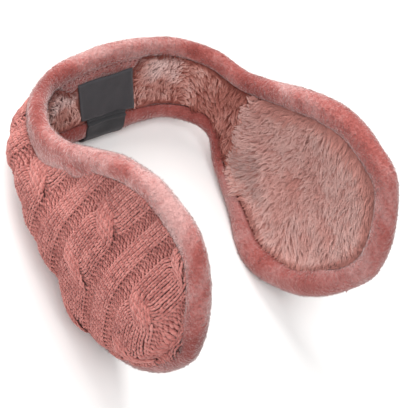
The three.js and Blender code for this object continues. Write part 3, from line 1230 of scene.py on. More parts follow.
@dataclass(frozen=True)
class RibbonFinish(Finish):
    """Woven ribbon with fine threads, paler on its raised edges and folds, with painted shade in the gaps
    between its threads.
    """

    patch_scale: float = 90.0
    grain_scale: float = 2600.0
    bump_depth: float = 0.00012
    thread: Colour = (0.052, 0.051, 0.057)
    # painted shade in the gaps between the threads
    gap_shade: Colour = (0.035, 0.034, 0.039)
    paler: Colour = (0.10, 0.097, 0.106)
    threads: float = 1.6
    mottle_weight: float = 0.35
    paler_at: Pair = (0.1, 1.1)
    gap_shade_share: float = 0.7

    def dress(self, cloth: Cloth) -> tuple[Socket, Socket]:
        """Adds the nodes of the ribbon.

        Args:
            cloth: what they work with.

        Returns:
            The ribbon's colour and height.
        """
        nodes = cloth.nodes
        weave = nodes.add("ShaderNodeGroup", node_tree=cloth.groups.weave)
        nodes.link(nodes.flow(), weave.inputs["Flow"])
        weave.inputs["Threads"].default_value = self.threads
        paling = nodes.total((cloth.mottle, self.mottle_weight), (nodes.value_of("reach"), 1.0))
        dyed = nodes.blend(nodes.spread(paling, *self.paler_at), self.thread, self.paler)
        # painted shade: darker in the gaps between the threads
        share = nodes.math("MULTIPLY", weave.outputs["Gaps"], self.gap_shade_share)
        return nodes.blend(share, dyed, self.gap_shade), weave.outputs["Height"]


# ---------- Knit ----------


class Fabric(Enum):
    """The three kinds of column in the knitting."""

    CABLE = "cable"
    PURL = "purl"
    RIB = "rib"


@dataclass
class Stitches:
    """Many stitches: their wale and course, the nearest cable, and their place in the repeat."""

    wale: Array
    course: Array

    def __post_init__(self) -> None:
        """Counts the repeats outwards from the middle of the back."""
        self.cable = np.rint(np.abs(self.wale) / CableKnit.repeat_wales)
        outwards = np.abs(self.wale) - self.cable * CableKnit.repeat_wales
        self.position = np.where(self.cable == 0, self.wale, outwards)

    def kept(self, keep: Array) -> "Stitches":
        """Only the stitches that are to be kept."""
        return Stitches(self.wale[keep], self.course[keep])


@dataclass
class CableKnit:
    """Knitting with plain ribs and twisted cables that stand up from sunken purl columns."""

    repeat_wales: int = 18
    cable_half: float = 4
    rib_start: float = 7
    wale_places: Row = (0, 10, 16.15, 20.75)
    last_wale: float = 2.3
    repeat: float = 41.5
    course: float = 2.4
    repeat_courses: int = 12
    wales: tuple[int, int] = (-86, 86)
    courses: tuple[int, int] = (-46, 32)
    crossing_share: float = 0.5
    crossing_start: float = 4.0
    crossing_step: float = 4.2
    crossing_first: int = 3
    strand_widen: float = 0.5
    strand_round: float = 0.45
    hidden_margin: float = 2.3
    hidden_share: float = 0.02
    open_edge: float = 7.0
    cable_rise: float = 1.35
    cable_fall: float = 0.8
    crossing_rise: float = 0.9
    rib_rise: float = 0.85
    rib_fall: float = 0.13
    purl_sink: float = 0.55
    ground_depth: float = 0.95
    ground_rows: int = 30
    ground_tone: float = 0.2
    slant_start: float = 18
    slant_end: float = 88
    slant: float = 0.32
    slant_bend: float = 0.00475
    slant_steps: int = 4
    course_fall: float = 0.25
    course_middle: float = 100
    tuck: float = 2.9
    untuck: float = 0.85
    edge_sink: float = 2.2
    sink_room: Pair = (-1.0, 1.4)
    last_along: float = 181.5
    spill_lift: float = 2.1
    lift_past: Pair = (-5, 2)
    spill_fall: float = 2.6
    fall_past: Pair = (4.5, 8.5)
    yarn_half: float = 0.56
    yarn_thick: float = 0.5
    yarn_taper: Triple = (0.14, 0.72, 0.6)
    yarn_uneven: Pair = (0.93, 1.07)
    widest: float = 1.6
    fill_out: float = 0.55
    wobble: float = 0.028
    rise_wobble: float = 0.06
    lower_thick: float = 0.8
    rung_thick: float = 0.85
    rings: int = 4
    sides: int = 5

    def to_pattern(self, across: Array, course: Array) -> tuple[Array, Array]:
        """Place on the pattern of a point of the knitting.

        Args:
            across: distance across the wales from the middle of the back, in millimetres.
            course: distance along the wales, in millimetres.

        Returns:
            Distances along and heights across the band.
        """
        size = np.abs(across)
        share = smooth(size, self.slant_start, self.slant_end)
        level = course - self.course_fall * (size - self.course_middle) * share
        along = size
        for _ in range(self.slant_steps):
            up = PADDING.unrolled.at(along, level)
            along = size + share * (self.slant * up + self.slant_bend * up**2)
        return np.where(across < 0, -1.0, 1.0) * along, up

    def crossing(self, cable: Array, course: Array, home: Array) -> Array:
        """How far the two strands of a cable have changed places.

        Args:
            cable: number of the cable from the middle of the back.
            course: courses at which to look.
            home: course of the stitch that they belong to.

        Returns:
            Shares from 0 below a crossing to 1 above it.
        """
        first = self.crossing_start - self.crossing_step * (cable - self.crossing_first)
        turn = np.floor((home - first) / self.repeat_courses + 0.5)
        part = (course - first) / self.repeat_courses + 0.5 - turn
        half = self.crossing_share / 2
        return smooth(part, 0.5 - half, 0.5 + half)

    def lay(self, loops: Stitches, wale: Array, course: Array, kind: Fabric) -> tuple[Array, ...]:
        """Where points of stitches lie.

        Args:
            loops: the stitches that they belong to.
            wale: offsets in wales from each stitch's middle.
            course: offsets in courses from each stitch's middle.
            kind: the kind of column.

        Returns:
            Distances along, heights across, rises in millimetres, and how much wider the yarn is spread.
        """
        shape = wale.shape
        spot = loops.position.reshape(-1, *[1] * (wale.ndim - 1))
        cable = loops.cable.reshape(spot.shape)
        home = loops.course.reshape(spot.shape)
        side = np.where(loops.wale < 0, -1.0, 1.0).reshape(spot.shape)
        position = spot + np.where(cable == 0, 1.0, side) * wale
        rows = home + course
        share = self.crossing(cable, rows, home)
        hump = np.sin(math.pi * share)
        widen = 1 + self.strand_widen * hump
        if kind is Fabric.CABLE:
            half = self.cable_half / 2
            front = np.where(spot > 0, 1.0, -1.0)
            local = (position - front * half) / half
            moved = half * (front * (1 - 2 * share) + local * widen)
            across = moved * self.wale_places[1] / self.cable_half
            rise = self.cable_rise - self.cable_fall * (moved / self.cable_half) ** 2
            rise = rise - self.strand_round * local**2 + front * self.crossing_rise * hump
        else:
            size = np.abs(position)
            last = self.repeat_wales / 2
            across = np.interp(size, (0, self.cable_half, self.rib_start, last), self.wale_places)
            across = across + np.maximum(size - last, 0) * self.last_wale
            edge, start = self.wale_places[1], self.wale_places[2]
            narrow = edge * (np.abs(1 - 2 * share) + widen) / 2
            pulled = start - (start - across) * (start - narrow) / (start - edge)
            across = np.where(across < start, pulled, across)
            across = np.where(position < 0, -1.0, 1.0) * across
            if kind is Fabric.RIB:
                rise = self.rib_rise - self.rib_fall * (size - last) ** 2
            else:
                rise = np.full(shape, -self.purl_sink)
            widen = np.ones(shape)
        total = np.where(cable == 0, across, side * (cable * self.repeat + across))
        along, up = self.to_pattern(total, rows * self.course)
        return along, up, np.broadcast_to(rise, shape), np.broadcast_to(widen, shape)

    def hidden(self, loops: Stitches) -> Array:
        """Which cable stitches lie wholly behind the strand that crosses in front.

        Args:
            loops: the stitches.

        Returns:
            True for each hidden one.
        """
        share = self.crossing(loops.cable, loops.course, loops.course)
        half = self.cable_half / 2
        widen = 1 + self.strand_widen * np.sin(math.pi * share)
        behind = half * (2 * share - 1) + (loops.position + half) * widen
        covered = np.abs(behind - half * (1 - 2 * share)) < half * widen - self.hidden_margin
        crossing = (share > self.hidden_share) & (share < 1 - self.hidden_share)
        return (loops.position < 0) & covered & crossing

    def edge_shift(self, along: Array, up: Array) -> Array:
        """How far the stitches rise over the roll, or sink under it, at the knitting's edge.

        Args:
            along: distances along the pattern.
            up: heights across the band.

        Returns:
            Distances off the padding, negative where they sink.
        """
        past = -PADDING.seam_room(along, up)
        over = self.spill_lift * smooth(past, *self.lift_past)
        over = over - self.spill_fall * smooth(past, *self.fall_past)
        sunk = self.edge_sink * smooth(-VELOUR.knit_room(along, up), *self.sink_room)
        return over * VELOUR.spill_share(along, up) - sunk

    def yarn(self, parts: MeshParts, loops: Stitches, kind: Fabric, path: tuple[Array, Array, Array],
             size: float, rng: Random, turn: Array | None = None) -> None:
        """Adds one piece of yarn to each stitch.

        Args:
            parts: where the triangles go.
            loops: the stitches.
            kind: the kind of column that they are in.
            path: sideways, upward and outward places along the yarn.
            size: thickness of the yarn as a share of the usual.
            rng: source of the small differences.
            turn: -1 for the stitches whose yarn runs the other way across, 1 for the rest.
        """
        count = len(loops.wale)
        share = np.linspace(0, 1, self.rings)
        wobble = rng.normal(0, self.wobble, (2, count, 1))
        aside = path[0][None] * (1 if turn is None else turn[:, None])
        outward = path[2][None] + rng.normal(0, self.rise_wobble, (count, 1))
        along, up, rise, widen = self.lay(loops, aside + wobble[0], path[1][None] + wobble[1], kind)
        rise = rise + outward + self.edge_shift(along, up)
        centre, step_along, normal = PADDING.jet(Face.KNIT, along, up, rise)
        run = unit(np.gradient(centre, axis=1))
        flat = unit(np.cross(normal, run))
        lift = unit(np.cross(run, flat))
        stretch = np.linalg.norm(step_along, axis=-1) / MM
        steep, drawn = (
            mix(1, stretch, np.abs(np.einsum("nrk,nrk->nr", unit(step_along), way))) for way in (flat, run)
        )
        start, extent, power = self.yarn_taper
        taper = np.sin(math.pi * (start + extent * share)) ** power
        body = taper[None] * rng.uniform(*self.yarn_uneven, (count, 1))
        thick = MM * size * body * (1 + self.fill_out * np.clip(drawn - 1, 0, 1))
        half = self.yarn_half * thick * widen * np.clip(steep, 1, self.widest)
        angle = 2 * math.pi * (np.arange(self.sides) + 0.5) / self.sides
        ring = hoops(centre, flat * half[..., None], lift * (self.yarn_thick * thick)[..., None], angle)
        ring[..., 2] = np.maximum(ring[..., 2], 0)
        tone = np.repeat(rng.uniform(0, 1, count), self.rings * self.sides)
        # reach paints shade on the side of the yarn towards the padding and towards its ends
        reach = (0.6 + 0.4 * np.sin(angle)) * (0.45 + 0.55 * body)[..., None]
        flow = np.broadcast_to(flow_of(share[:, None], np.arange(self.sides) / self.sides), ring.shape)
        parts.add(ring, repeated(ring, ring_triangles(self.rings, self.sides)), tone, reach, flow)

    def paths(self, kind: Fabric) -> list[tuple[tuple[Array, Array, Array], float]]:
        """The two pieces of yarn in a stitch of a kind.

        Args:
            kind: the kind of column.

        Returns:
            For each piece its sideways, upward and outward places, and its thickness as a share of the usual.
        """
        share = np.linspace(0, 1, self.rings)
        arch = np.sin(math.pi * share)
        if kind is Fabric.PURL:
            slope = 0.22 * (share - 0.5)
            upper = (share - 0.5, 0.12 + slope + 0.2 * arch, 0.62 * arch - 0.3)
            lower = (share, -0.3 + slope - 0.16 * arch, 0.42 * arch - 0.42)
            return [(upper, 1.0), (lower, self.lower_thick)]
        aside, climb, out = 0.13 + 0.17 * share**0.8, -0.6 + 1.3 * share, 0.5 * arch - 0.25 - 0.14 * share
        return [((sign * aside, climb, out), 1.0) for sign in (-1, 1)]

    def stitches(self, parts: MeshParts, wanted: OnPattern, seed: int) -> None:
        """Adds the stitches of one piece of knitting.

        Args:
            parts: where the triangles go.
            wanted: tells for places on the pattern whether they belong to the piece.
            seed: seed of the small differences.
        """
        rng = np.random.default_rng(seed)
        wale, course = np.meshgrid(
            np.arange(*self.wales) + 0.5, np.arange(*self.courses, dtype=float), indexing="ij"
        )
        every = Stitches(wale.ravel(), course.ravel())
        size = np.abs(every.position)
        covered = self.hidden(every) & (VELOUR.knit_room(*self.middles(every, Fabric.CABLE)) > self.open_edge)
        kinds = {
            Fabric.CABLE: (size < self.cable_half) & ~covered,
            Fabric.PURL: (size > self.cable_half) & (size < self.rib_start),
            Fabric.RIB: size > self.rib_start,
        }
        for kind, mask in kinds.items():
            loops = every.kept(mask)
            along, up = self.middles(loops, kind)
            tuck = self.tuck * (1 - self.untuck * VELOUR.spill_share(along, up))
            keep = (VELOUR.knit_room(along, up) > -tuck) & (np.abs(along) < self.last_along)
            loops = loops.kept(keep & wanted(along, up))
            for path, thick in self.paths(kind):
                self.yarn(parts, loops, kind, path, thick, rng)
            if kind is Fabric.PURL:
                self.rungs(parts, loops, rng)

    def middles(self, loops: Stitches, kind: Fabric) -> tuple[Array, Array]:
        """Distances along and heights across of the stitches' middles."""
        nothing = np.zeros(len(loops.wale))
        return self.lay(loops, nothing, nothing, kind)[:2]

    def rungs(self, parts: MeshParts, loops: Stitches, rng: Random) -> None:
        """Adds the short bars that tie the purl columns under the ribs and cables beside them.

        Args:
            parts: where the triangles go.
            loops: the purl stitches.
            rng: source of the small differences.
        """
        share = np.linspace(0, 1, self.rings)
        bar = (0.05 + 0.85 * share, 0.1 - 0.1 * share, 0.3 + 0.45 * np.sin(math.pi * share) + 0.1 * share)
        outwards = np.sign(loops.position) * np.where((loops.cable > 0) & (loops.wale < 0), -1, 1)
        size = np.abs(loops.position)
        for near, way in ((size < self.cable_half + 1, -1), (size > self.rib_start - 1, 1)):
            turn = way * outwards[near]
            self.yarn(parts, loops.kept(near), Fabric.PURL, bar, self.rung_thick, rng, turn)

    def ground(self, parts: MeshParts, stations: Array, sides: Array) -> None:
        """Adds the padding under the stitches, painted all over in the yarn's shade colour.

        Args:
            parts: where the triangles go.
            stations: stations of the pattern from one end of the piece to the other, none below zero.
            sides: -1 or 1 for each station, the half that it is on.
        """
        along, up, knit, _, middle = PADDING.over(stations, sides, self.ground_rows)
        back = middle + PADDING.half_gap
        front = np.maximum(knit - self.ground_depth, back + PADDING.thinnest)
        # reach 0 paints the ground in the yarn's full shade colour
        parts.add_slab(PATTERN.place(along, up, front), PATTERN.place(along, up, back), self.ground_tone)


# ---------- Plush ----------


@dataclass
class PlushPile:
    """Pile of wavy locks that lie over each other on a short dense ground."""

    roots_along: ClassVar[Pair] = (-190, 190)
    roots_up: ClassVar[Pair] = (-78, 40)

    lay: OnPattern
    warmth: OnPattern
    seed: int
    length: Pair = (6.0, 10.5)
    lock_gap: float = 1.8
    strands: int = 4
    spread: float = 1.0
    rise: float = 1.6
    stand: float = 0.0
    layer: float = 0.7
    layer_length: float = 11
    wave: float = 0.62
    wave_length: float = 7.5
    wave_start: float = 0.4
    phase_length: float = 20
    phase_swing: float = 2.4
    phase_jitter: float = 0.4
    turn_jitter: float = 0.2
    root_spread: float = 0.6
    own_length: Pair = (0.7, 1.08)
    own_rise: Pair = (0.5, 1.2)
    arc: Triple = (0.06, 0.76, 0.7)
    root_sink: float = 0.6
    stray: float = 0.2
    gather: float = 0.4
    half_width: float = 0.26
    uneven: Pair = (0.7, 1.3)
    blunt: float = 0.15
    flatness: Pair = (1.3, 0.7)
    tone_share: float = 0.65
    rings: int = 3
    sides: int = 3
    softness: float = 0.74
    shadow: float = 2.6
    open_shadow: float = 1.6
    open_seam: float = 1.2
    overhang: float = 1.7
    neck_overhang: float = 0.0
    neck_lit: float = 0.8
    neck_up: float = -22
    neck_reach: float = 97
    neck_lit_reach: float = 100
    shorten: float = 0.72
    collar_width: float = 8.0
    collar_rise: float = 1.1
    collar_up: Pair = (-43.0, 12.0)
    collar_grid: tuple[int, int] = (16, 60)
    ground_rows: int = 40
    ground_tone: float = 0.4

    def grow(self, parts: MeshParts, wanted: OnPattern) -> None:
        """Adds the locks of one piece.

        Args:
            parts: where the triangles go.
            wanted: tells for root places on the pattern whether a lock grows there.
        """
        rng = np.random.default_rng(self.seed)
        places = (np.arange(*ends, self.lock_gap) for ends in (self.roots_along, self.roots_up))
        along, up = np.meshgrid(*places, indexing="ij")
        along = along + rng.uniform(-0.5, 0.5, along.shape) * self.lock_gap
        up = up + rng.uniform(-0.5, 0.5, up.shape) * self.lock_gap
        keep = wanted(along, up)
        along, up = along[keep], up[keep]
        place = self.strand_places(along, up, rng)
        rise = self.strand_rises(along, up, place, rng)
        flat = place.reshape(-1, self.rings + 1, 2)
        far_along, far_up = flat[..., 0], flat[..., 1]
        centre, _, normal = PADDING.jet(Face.PLUSH, far_along, far_up, rise.reshape(far_up.shape))
        tone = np.repeat(rng.uniform(0, 1, len(along)), self.strands) * self.tone_share
        tone = tone + rng.uniform(0, 1 - self.tone_share, len(flat))
        warmth = np.repeat(self.warmth(np.abs(along), up), self.strands)
        # painted shade in the crease beside a roll, lifted where the pile overhangs at the neck
        neck = (np.abs(far_along) < self.neck_lit_reach) & (far_up < self.neck_up) & (self.neck_overhang > 0)
        lit = np.maximum(self.lit(far_along, far_up), self.neck_lit * neck)
        self.strand_mesh(parts, centre, normal, tone, warmth, lit, rng)

    def strand_places(self, along: Array, up: Array, rng: Random) -> Array:
        """Lines of the strands on the pattern, which leave the roots apart and gather towards the tips.

        Args:
            along: distances along the roots.
            up: heights of the roots.
            rng: source of the differences.

        Returns:
            Places on the pattern as [lock, strand, point, 2].
        """
        count = len(along)
        turn = self.lay(np.abs(along), up) + rng.normal(0, self.turn_jitter, count)
        facing = np.where(along < 0, -1.0, 1.0)
        direct = np.stack([np.cos(turn) * facing, np.sin(turn)], axis=-1)
        sideways = np.stack([-direct[:, 1], direct[:, 0]], axis=-1)
        length = self.room_for(along, up, direct, rng.uniform(*self.length, count))
        waves = Waves(self.seed + 5, self.phase_length)
        phase = waves.at(along, up) * self.phase_swing + rng.normal(0, self.phase_jitter, count)
        offset = rng.normal(0, 1, (count, self.strands, 2)) * self.spread * self.root_spread
        share = np.linspace(0, 1, self.rings + 1)
        gather = self.gather + (1 - self.gather) * (1 - share)
        angle = 2 * math.pi * share[None] * length[:, None] / self.wave_length + phase[:, None]
        wavy = self.wave * np.sin(angle) * mix(self.wave_start, 1, share)[None]
        own = rng.uniform(*self.own_length, (count, self.strands))
        line = length[:, None, None] * own[:, :, None] * share[None, None] ** 0.95
        stray = rng.normal(0, self.stray, (count, self.strands, 1)) * share
        across = offset[:, :, 0][..., None] * gather + wavy[:, None] + stray
        ahead = line + offset[:, :, 1][..., None] * gather
        root = np.stack([along, up], axis=-1)[:, None, None]
        return root + ahead[..., None] * direct[:, None, None] + across[..., None] * sideways[:, None, None]

    def strand_rises(self, along: Array, up: Array, place: Array, rng: Random) -> Array:
        """How far the points of the strands stand off the plush's face.

        Args:
            along: distances along the roots.
            up: heights of the roots.
            place: places of the points on the pattern.
            rng: source of the differences.

        Returns:
            Distances in millimetres as [lock, strand, point].
        """
        share = np.linspace(0, 1, self.rings + 1)
        stand = 1 + self.stand * np.maximum(0.5 - self.warmth(np.abs(along), up), 0)[:, None, None]
        top = self.rise * stand * rng.uniform(*self.own_rise, (len(along), self.strands, 1))
        start, extent, power = self.arc
        arc = np.sin(math.pi * (start + extent * share)) ** power
        layer = self.layer * Waves(self.seed + 9, self.layer_length).at(along, up)[:, None, None] * share
        past = np.abs(place[..., 0]) - Cup.pile_edge(place[..., 1])
        collar = self.collar_rise * smooth(past, -2.5, 0.5) * smooth(-past, -self.collar_width, -4)
        return top * arc[None, None] + layer - self.root_sink * (1 - share) + collar

    def lit(self, along: Array, up: Array) -> Array:
        """How far the pile has come out of the painted shade in the crease beside a roll, from 0 to 1."""
        shadow = self.shadow + self.open_shadow * Cup.upper_front(along, up)
        return smooth(VELOUR.plush_room(along, up) / shadow, -0.08, 1)

    def tufts(self, along: Array, up: Array) -> Array:
        """Small uneven bumps of the backing cloth, mostly between -1 and 1."""
        return Waves(self.seed + 2, 4.5).at(along, up)

    def collar(self, parts: MeshParts, side: float) -> None:
        """Adds the lifted edge of the backing cloth where the pile of a cup starts over the band's.

        Args:
            parts: where the triangles go.
            side: -1 or 1, the half that it is on.
        """
        reach, across = shares(*self.collar_grid)
        up = mix(*self.collar_up, across)
        edge = Cup.pile_edge(up)
        along = edge + Cup.ragged.at(side * edge, up) + reach * self.collar_width
        room = VELOUR.plush_room(along, up)
        rise = (self.collar_rise + 0.3 * self.tufts(along, up)) * (1 - (1 - reach) ** 3)
        rise = rise * smooth(room, 0.2, 3) * smooth(-reach, -1, -0.6)
        sunk = 1.2 * smooth(-room, -0.8, 0.8) + 0.4 * smooth(reach, 0.6, 1) + 0.5 * smooth(-reach, -0.1, 0)
        front = PADDING.surface(Face.PLUSH, side * along, up, rise - sunk)
        back = PADDING.surface(Face.PLUSH, side * along, up, np.minimum(rise - sunk, 0) - 1.0)
        flow = flow_of(self.warmth(along, up))
        # reach paints the crease shade beside the rolls
        parts.add_slab(front, back, self.ground_tone, 0.5 * self.lit(along, up), flow)

    def room_for(self, along: Array, up: Array, direct: Array, length: Array) -> Array:
        """Lengths shortened where a lock would reach over a roll.

        Args:
            along: distances along the roots.
            up: heights of the roots.
            direct: unit directions of the locks.
            length: their full lengths.

        Returns:
            The lengths that fit.
        """
        for _ in range(4):
            far_along, far_up = along + direct[:, 0] * length, up + direct[:, 1] * length
            neck = (np.abs(far_along) < self.neck_reach) * (far_up < self.neck_up)
            spill = self.overhang + self.neck_overhang * neck
            spill = spill - self.open_seam * Cup.upper_front(far_along, far_up)
            length = np.where(VELOUR.plush_room(far_along, far_up) < -spill, length * self.shorten, length)
        return length

    def per_point(self, values: Array) -> Array:
        """Values of each strand's rings, repeated for the points of a ring but not for the tip."""
        return np.concatenate([np.repeat(values[:, :-1], self.sides, axis=1), values[:, -1:]], axis=1)

    def strand_mesh(self, parts: MeshParts, centre: Array, normal: Array, tone: Array, warmth: Array,
                    lit: Array, rng: Random) -> None:
        """Adds tapered strands that follow given lines.

        Args:
            parts: where the triangles go.
            centre: points [strand, ring] of the lines, the last one the tip.
            normal: unit normals of the ground under them.
            tone: shade of each strand.
            warmth: how warm the colour of each strand is.
            lit: how far each point is out of the painted shade in the crease beside a roll.
            rng: source of the differences in width.
        """
        count, rings = len(centre), self.rings
        run = unit(np.gradient(centre, axis=1))
        flat = unit(np.cross(run, normal))
        lift = np.cross(flat, run)
        share = np.arange(rings) / rings
        taper = (1 - share**2.4) * (1 - self.blunt) + self.blunt
        width = (self.half_width * MM * rng.uniform(*self.uneven, (count, 1)) * taper[None])[..., None]
        angle = 2 * math.pi * np.arange(self.sides) / self.sides + math.pi / 2
        wide, thin = self.flatness
        ring = hoops(centre[:, :rings], flat[:, :rings] * width * wide, lift[:, :rings] * width * thin, angle)
        points = np.concatenate([ring.reshape(count, -1, 3), centre[:, rings:]], axis=1)
        points[..., 2] = np.maximum(points[..., 2], 0)
        own = unit(ring - centre[:, :rings, None]).reshape(count, -1, 3)
        soft = unit(mix(np.concatenate([own, run[:, rings:]], axis=1), self.per_point(normal), self.softness))
        # reach runs from root to tip and carries the painted crease shade
        reach = self.per_point(np.append(share, 1.0) * lit)
        size = points.shape[1]
        triangles = repeated(points, spike_triangles(rings, self.sides))
        parts.add(points, triangles, np.repeat(tone, size), reach, flow_of(np.repeat(warmth, size)), soft)

    def ground(self, parts: MeshParts, stations: Array, sides: Array) -> None:
        """Adds the backing cloth under the pile.

        Args:
            parts: where the triangles go.
            stations: stations of the pattern from one end of the piece to the other, none below zero.
            sides: -1 or 1 for each station, the half that it is on.
        """
        along, up, _, plush, middle = PADDING.over(stations, sides, self.ground_rows)
        back = middle - PADDING.half_gap
        bumps = 0.2 * self.tufts(along, up) + 0.2 * Waves(self.seed + 3, 9).at(along, up)
        front = np.minimum(plush + 0.15 - bumps, back - PADDING.thinnest)
        flow = flow_of(self.warmth(np.abs(along), up))
        front, back = (PATTERN.place(along, up, level) for level in (front, back))
        # reach paints the crease shade beside the rolls
        parts.add_slab(front, back, self.ground_tone, 0.3 * self.lit(along, up), flow)


# ---------- Velour roll ----------


@dataclass
class VelourRoll:
    """Padded velour roll that binds an edge, with its short nap."""

    stitch_along: ClassVar[Pair] = (-36, 17)
    stitch_gap: ClassVar[float] = 2.9
    stitch_length: ClassVar[float] = 1.7
    stitch_inset: ClassVar[float] = 1.2
    stitch_lift: ClassVar[float] = 0.1
    stitch_sink: ClassVar[float] = 1.15
    stitch_half: ClassVar[float] = 0.32
    stitch_sides: ClassVar[int] = 5
    swell_waves: ClassVar[Waves] = Waves(31, 30)
    brush_waves: ClassVar[Waves] = Waves(37, 34)
    patch_waves: ClassVar[Waves] = Waves(39, 10)
    upper_part: ClassVar[Pair] = (-20, 10)
    right_along: ClassVar[Pair] = (60, 100)
    lobe_along: ClassVar[Pair] = (110, 150)
    left_along: ClassVar[Pair] = (30, 90)
    front_along: ClassVar[Pair] = (160, 182)
    low_along: ClassVar[Pair] = (-80, -60)
    back_start: ClassVar[Pair] = (12, 36)
    back_end: ClassVar[Pair] = (-84, -62)
    flank_ease: ClassVar[Row] = (0.35, 0.7, 0.95)
    flank_fall: ClassVar[Row] = (0.03, 0.18, 0.6)
    flank_seam: ClassVar[Row] = (0.0, 0.1, 0.45)

    arc_steps: int = 14
    ring_gap: float = 1.5
    round_share: float = 0.6
    joint_pinch: float = 0.1
    joint_reach: float = 2.2
    joint_skew: float = 11.0
    joint_along: float = 88
    joint_length: float = 16
    pucker: float = 0.16
    pucker_length: float = 6.5
    swell: float = 0.3
    swell_around: float = 26
    brush_around: float = 44
    brush_tone: float = 0.23
    patch_tone: float = 0.12
    right_highlight: float = 0.24
    left_shade: float = 0.13
    lobe_shade: float = 0.45
    front_highlight: float = 0.18
    low_shade: float = 0.2
    back_shade: float = 0.22
    calm: float = 0.5
    skirt_rise: float = 1.1
    strip_rise: float = 0.6
    skirt_steps: int = 4
    seam_dip: float = 0.25
    bare_dip: float = 0.15
    spilled: Pair = (1.5, 3.5)
    strip_seam: float = 0.95
    tuck: float = 0.9
    end_ring: int = 4
    end_shrink: float = 0.6
    nap_density: float = 1.65
    nap_length: float = 1.2
    nap_half: float = 0.12
    nap_root: float = 0.1
    nap_sides: int = 3
    nap_stand: float = 0.45
    nap_uneven: Pair = (0.5, 1.25)
    nap_tone: float = 0.22
    nap_seam: float = 0.7
    nap_softness: float = 0.75

    def flank(self, face: Face, place: Array, inward: Array, width: Array, half: Array) -> tuple[Array, ...]:
        """Section of one flank of the roll, from its round outside to where it tucks under its seam.

        Args:
            face: the face that the flank is on.
            place: outline points of the rings.
            inward: directions into the pattern.
            width: width of the roll at each ring.
            half: half its thickness at each ring.

        Returns:
            Distances inwards and out, as [ring, step].
        """
        rounded = self.round_share * width[:, None]
        skirt, rise = VELOUR.skirt(*place.T), self.skirt_rise
        if face is Face.PLUSH:
            skirt, rise = VELOUR.strip(*place.T), self.strip_rise
            width = width + VELOUR.fat(*place.T)
            half = half + VELOUR.fat_rise * VELOUR.fat(*place.T)
        width, half, skirt = width[:, None], half[:, None], skirt[:, None]
        inwards = mix(rounded, width, np.array(self.flank_ease))
        share = np.linspace(0, 1, self.skirt_steps + 1)[None, 1:]
        beyond = width + skirt * share + 0.1 * share
        spot = place[:, None] + inward[:, None] * beyond[..., None]
        level = PADDING.height(face, spot[..., 0], spot[..., 1])
        lift = rise * np.minimum(skirt / 2, 1) * (1 - share**4)
        dip = self.seam_dip + self.bare_dip * half * (skirt < 0.4)
        drawn = level + face.value * (lift - dip * share**3)
        out = mix(face.value * half, drawn[:, :1], np.array(self.flank_fall))
        end_in = beyond[:, -1:] + self.tuck
        end_out = drawn[:, -1:] - face.value * self.tuck
        steps = ((inwards, beyond, end_in), (out, drawn, end_out))
        return tuple(np.concatenate(parts, axis=1) for parts in steps)

    def section(self, place: Array, inward: Array, width: Array, half: Array) -> tuple[Array, Array, Array]:
        """Section of the roll from the plush's seam round the outside to the knit's seam.

        Args:
            place: outline points of the rings.
            inward: directions into the pattern.
            width: width of the roll at each ring.
            half: half its thickness at each ring.

        Returns:
            Distances inwards and out as [ring, step], and how near each point is to a seam, which also sets
            the painted shade in the creases and under the knit's spill.
        """
        angle = np.linspace(-math.pi / 2, math.pi / 2, self.arc_steps + 1)[None]
        rounded = self.round_share * width[:, None]
        fat = VELOUR.fat(*place.T)[:, None]
        low = smooth(-place[:, 1:], 23, 29)
        arc_in = rounded - (rounded + VELOUR.fat_bulge * fat * low) * np.cos(angle)
        arc_out = (half[:, None] + VELOUR.fat_rise * fat * (angle < 0)) * np.sin(angle)
        plush, knit = (self.flank(face, place, inward, width, half) for face in (Face.PLUSH, Face.KNIT))
        inwards, out = (
            np.concatenate([behind[:, ::-1], arc, front], axis=1)
            for behind, arc, front in zip(plush, (arc_in, arc_out), knit)
        )
        edge = [*self.flank_seam, *[0.3] * (self.skirt_steps - 1), 0.7, 1.0]
        around = np.array([*edge[::-1], *[0] * (self.arc_steps + 1), *edge])
        seam = np.tile(around, (len(place), 1))
        under = len(edge) + 2
        # painted shade on the roll where the knit spills over it
        spilled = smooth(VELOUR.spill(*place.T), *self.spilled)
        seam[:, -under:] = np.maximum(seam[:, -under:], spilled[:, None])
        # painted shade along the plush's seam where there is no strip
        seam[VELOUR.strip(*place.T) < 1, : self.skirt_steps + 1] = self.strip_seam
        return inwards, out, seam

    def painted_light_and_shade(self, run: Array, climb: Array) -> Array:
        """Painted light and shade on the velour: lighter on the upper part of the right cup and the front of
        the left cup, darker on the lower part of the right cup, the left side, the band's lower edge and by
        the right neck.

        Args:
            run: distances along.
            climb: heights across.

        Returns:
            Differences in tone.
        """
        high = smooth(climb, *self.upper_part)
        right = self.right_highlight * smooth(-run, *self.right_along) * high
        lobe = self.lobe_shade * smooth(-run, *self.lobe_along) * (1 - high)
        left = self.left_shade * smooth(run, *self.left_along)
        front = self.front_highlight * smooth(run, *self.front_along)
        low = self.low_shade * smooth(-np.abs(run), *self.low_along) * (1 - high)
        back = self.back_shade * smooth(-run, *self.back_start) * smooth(run, *self.back_end)
        return right - lobe - left + front - low - back

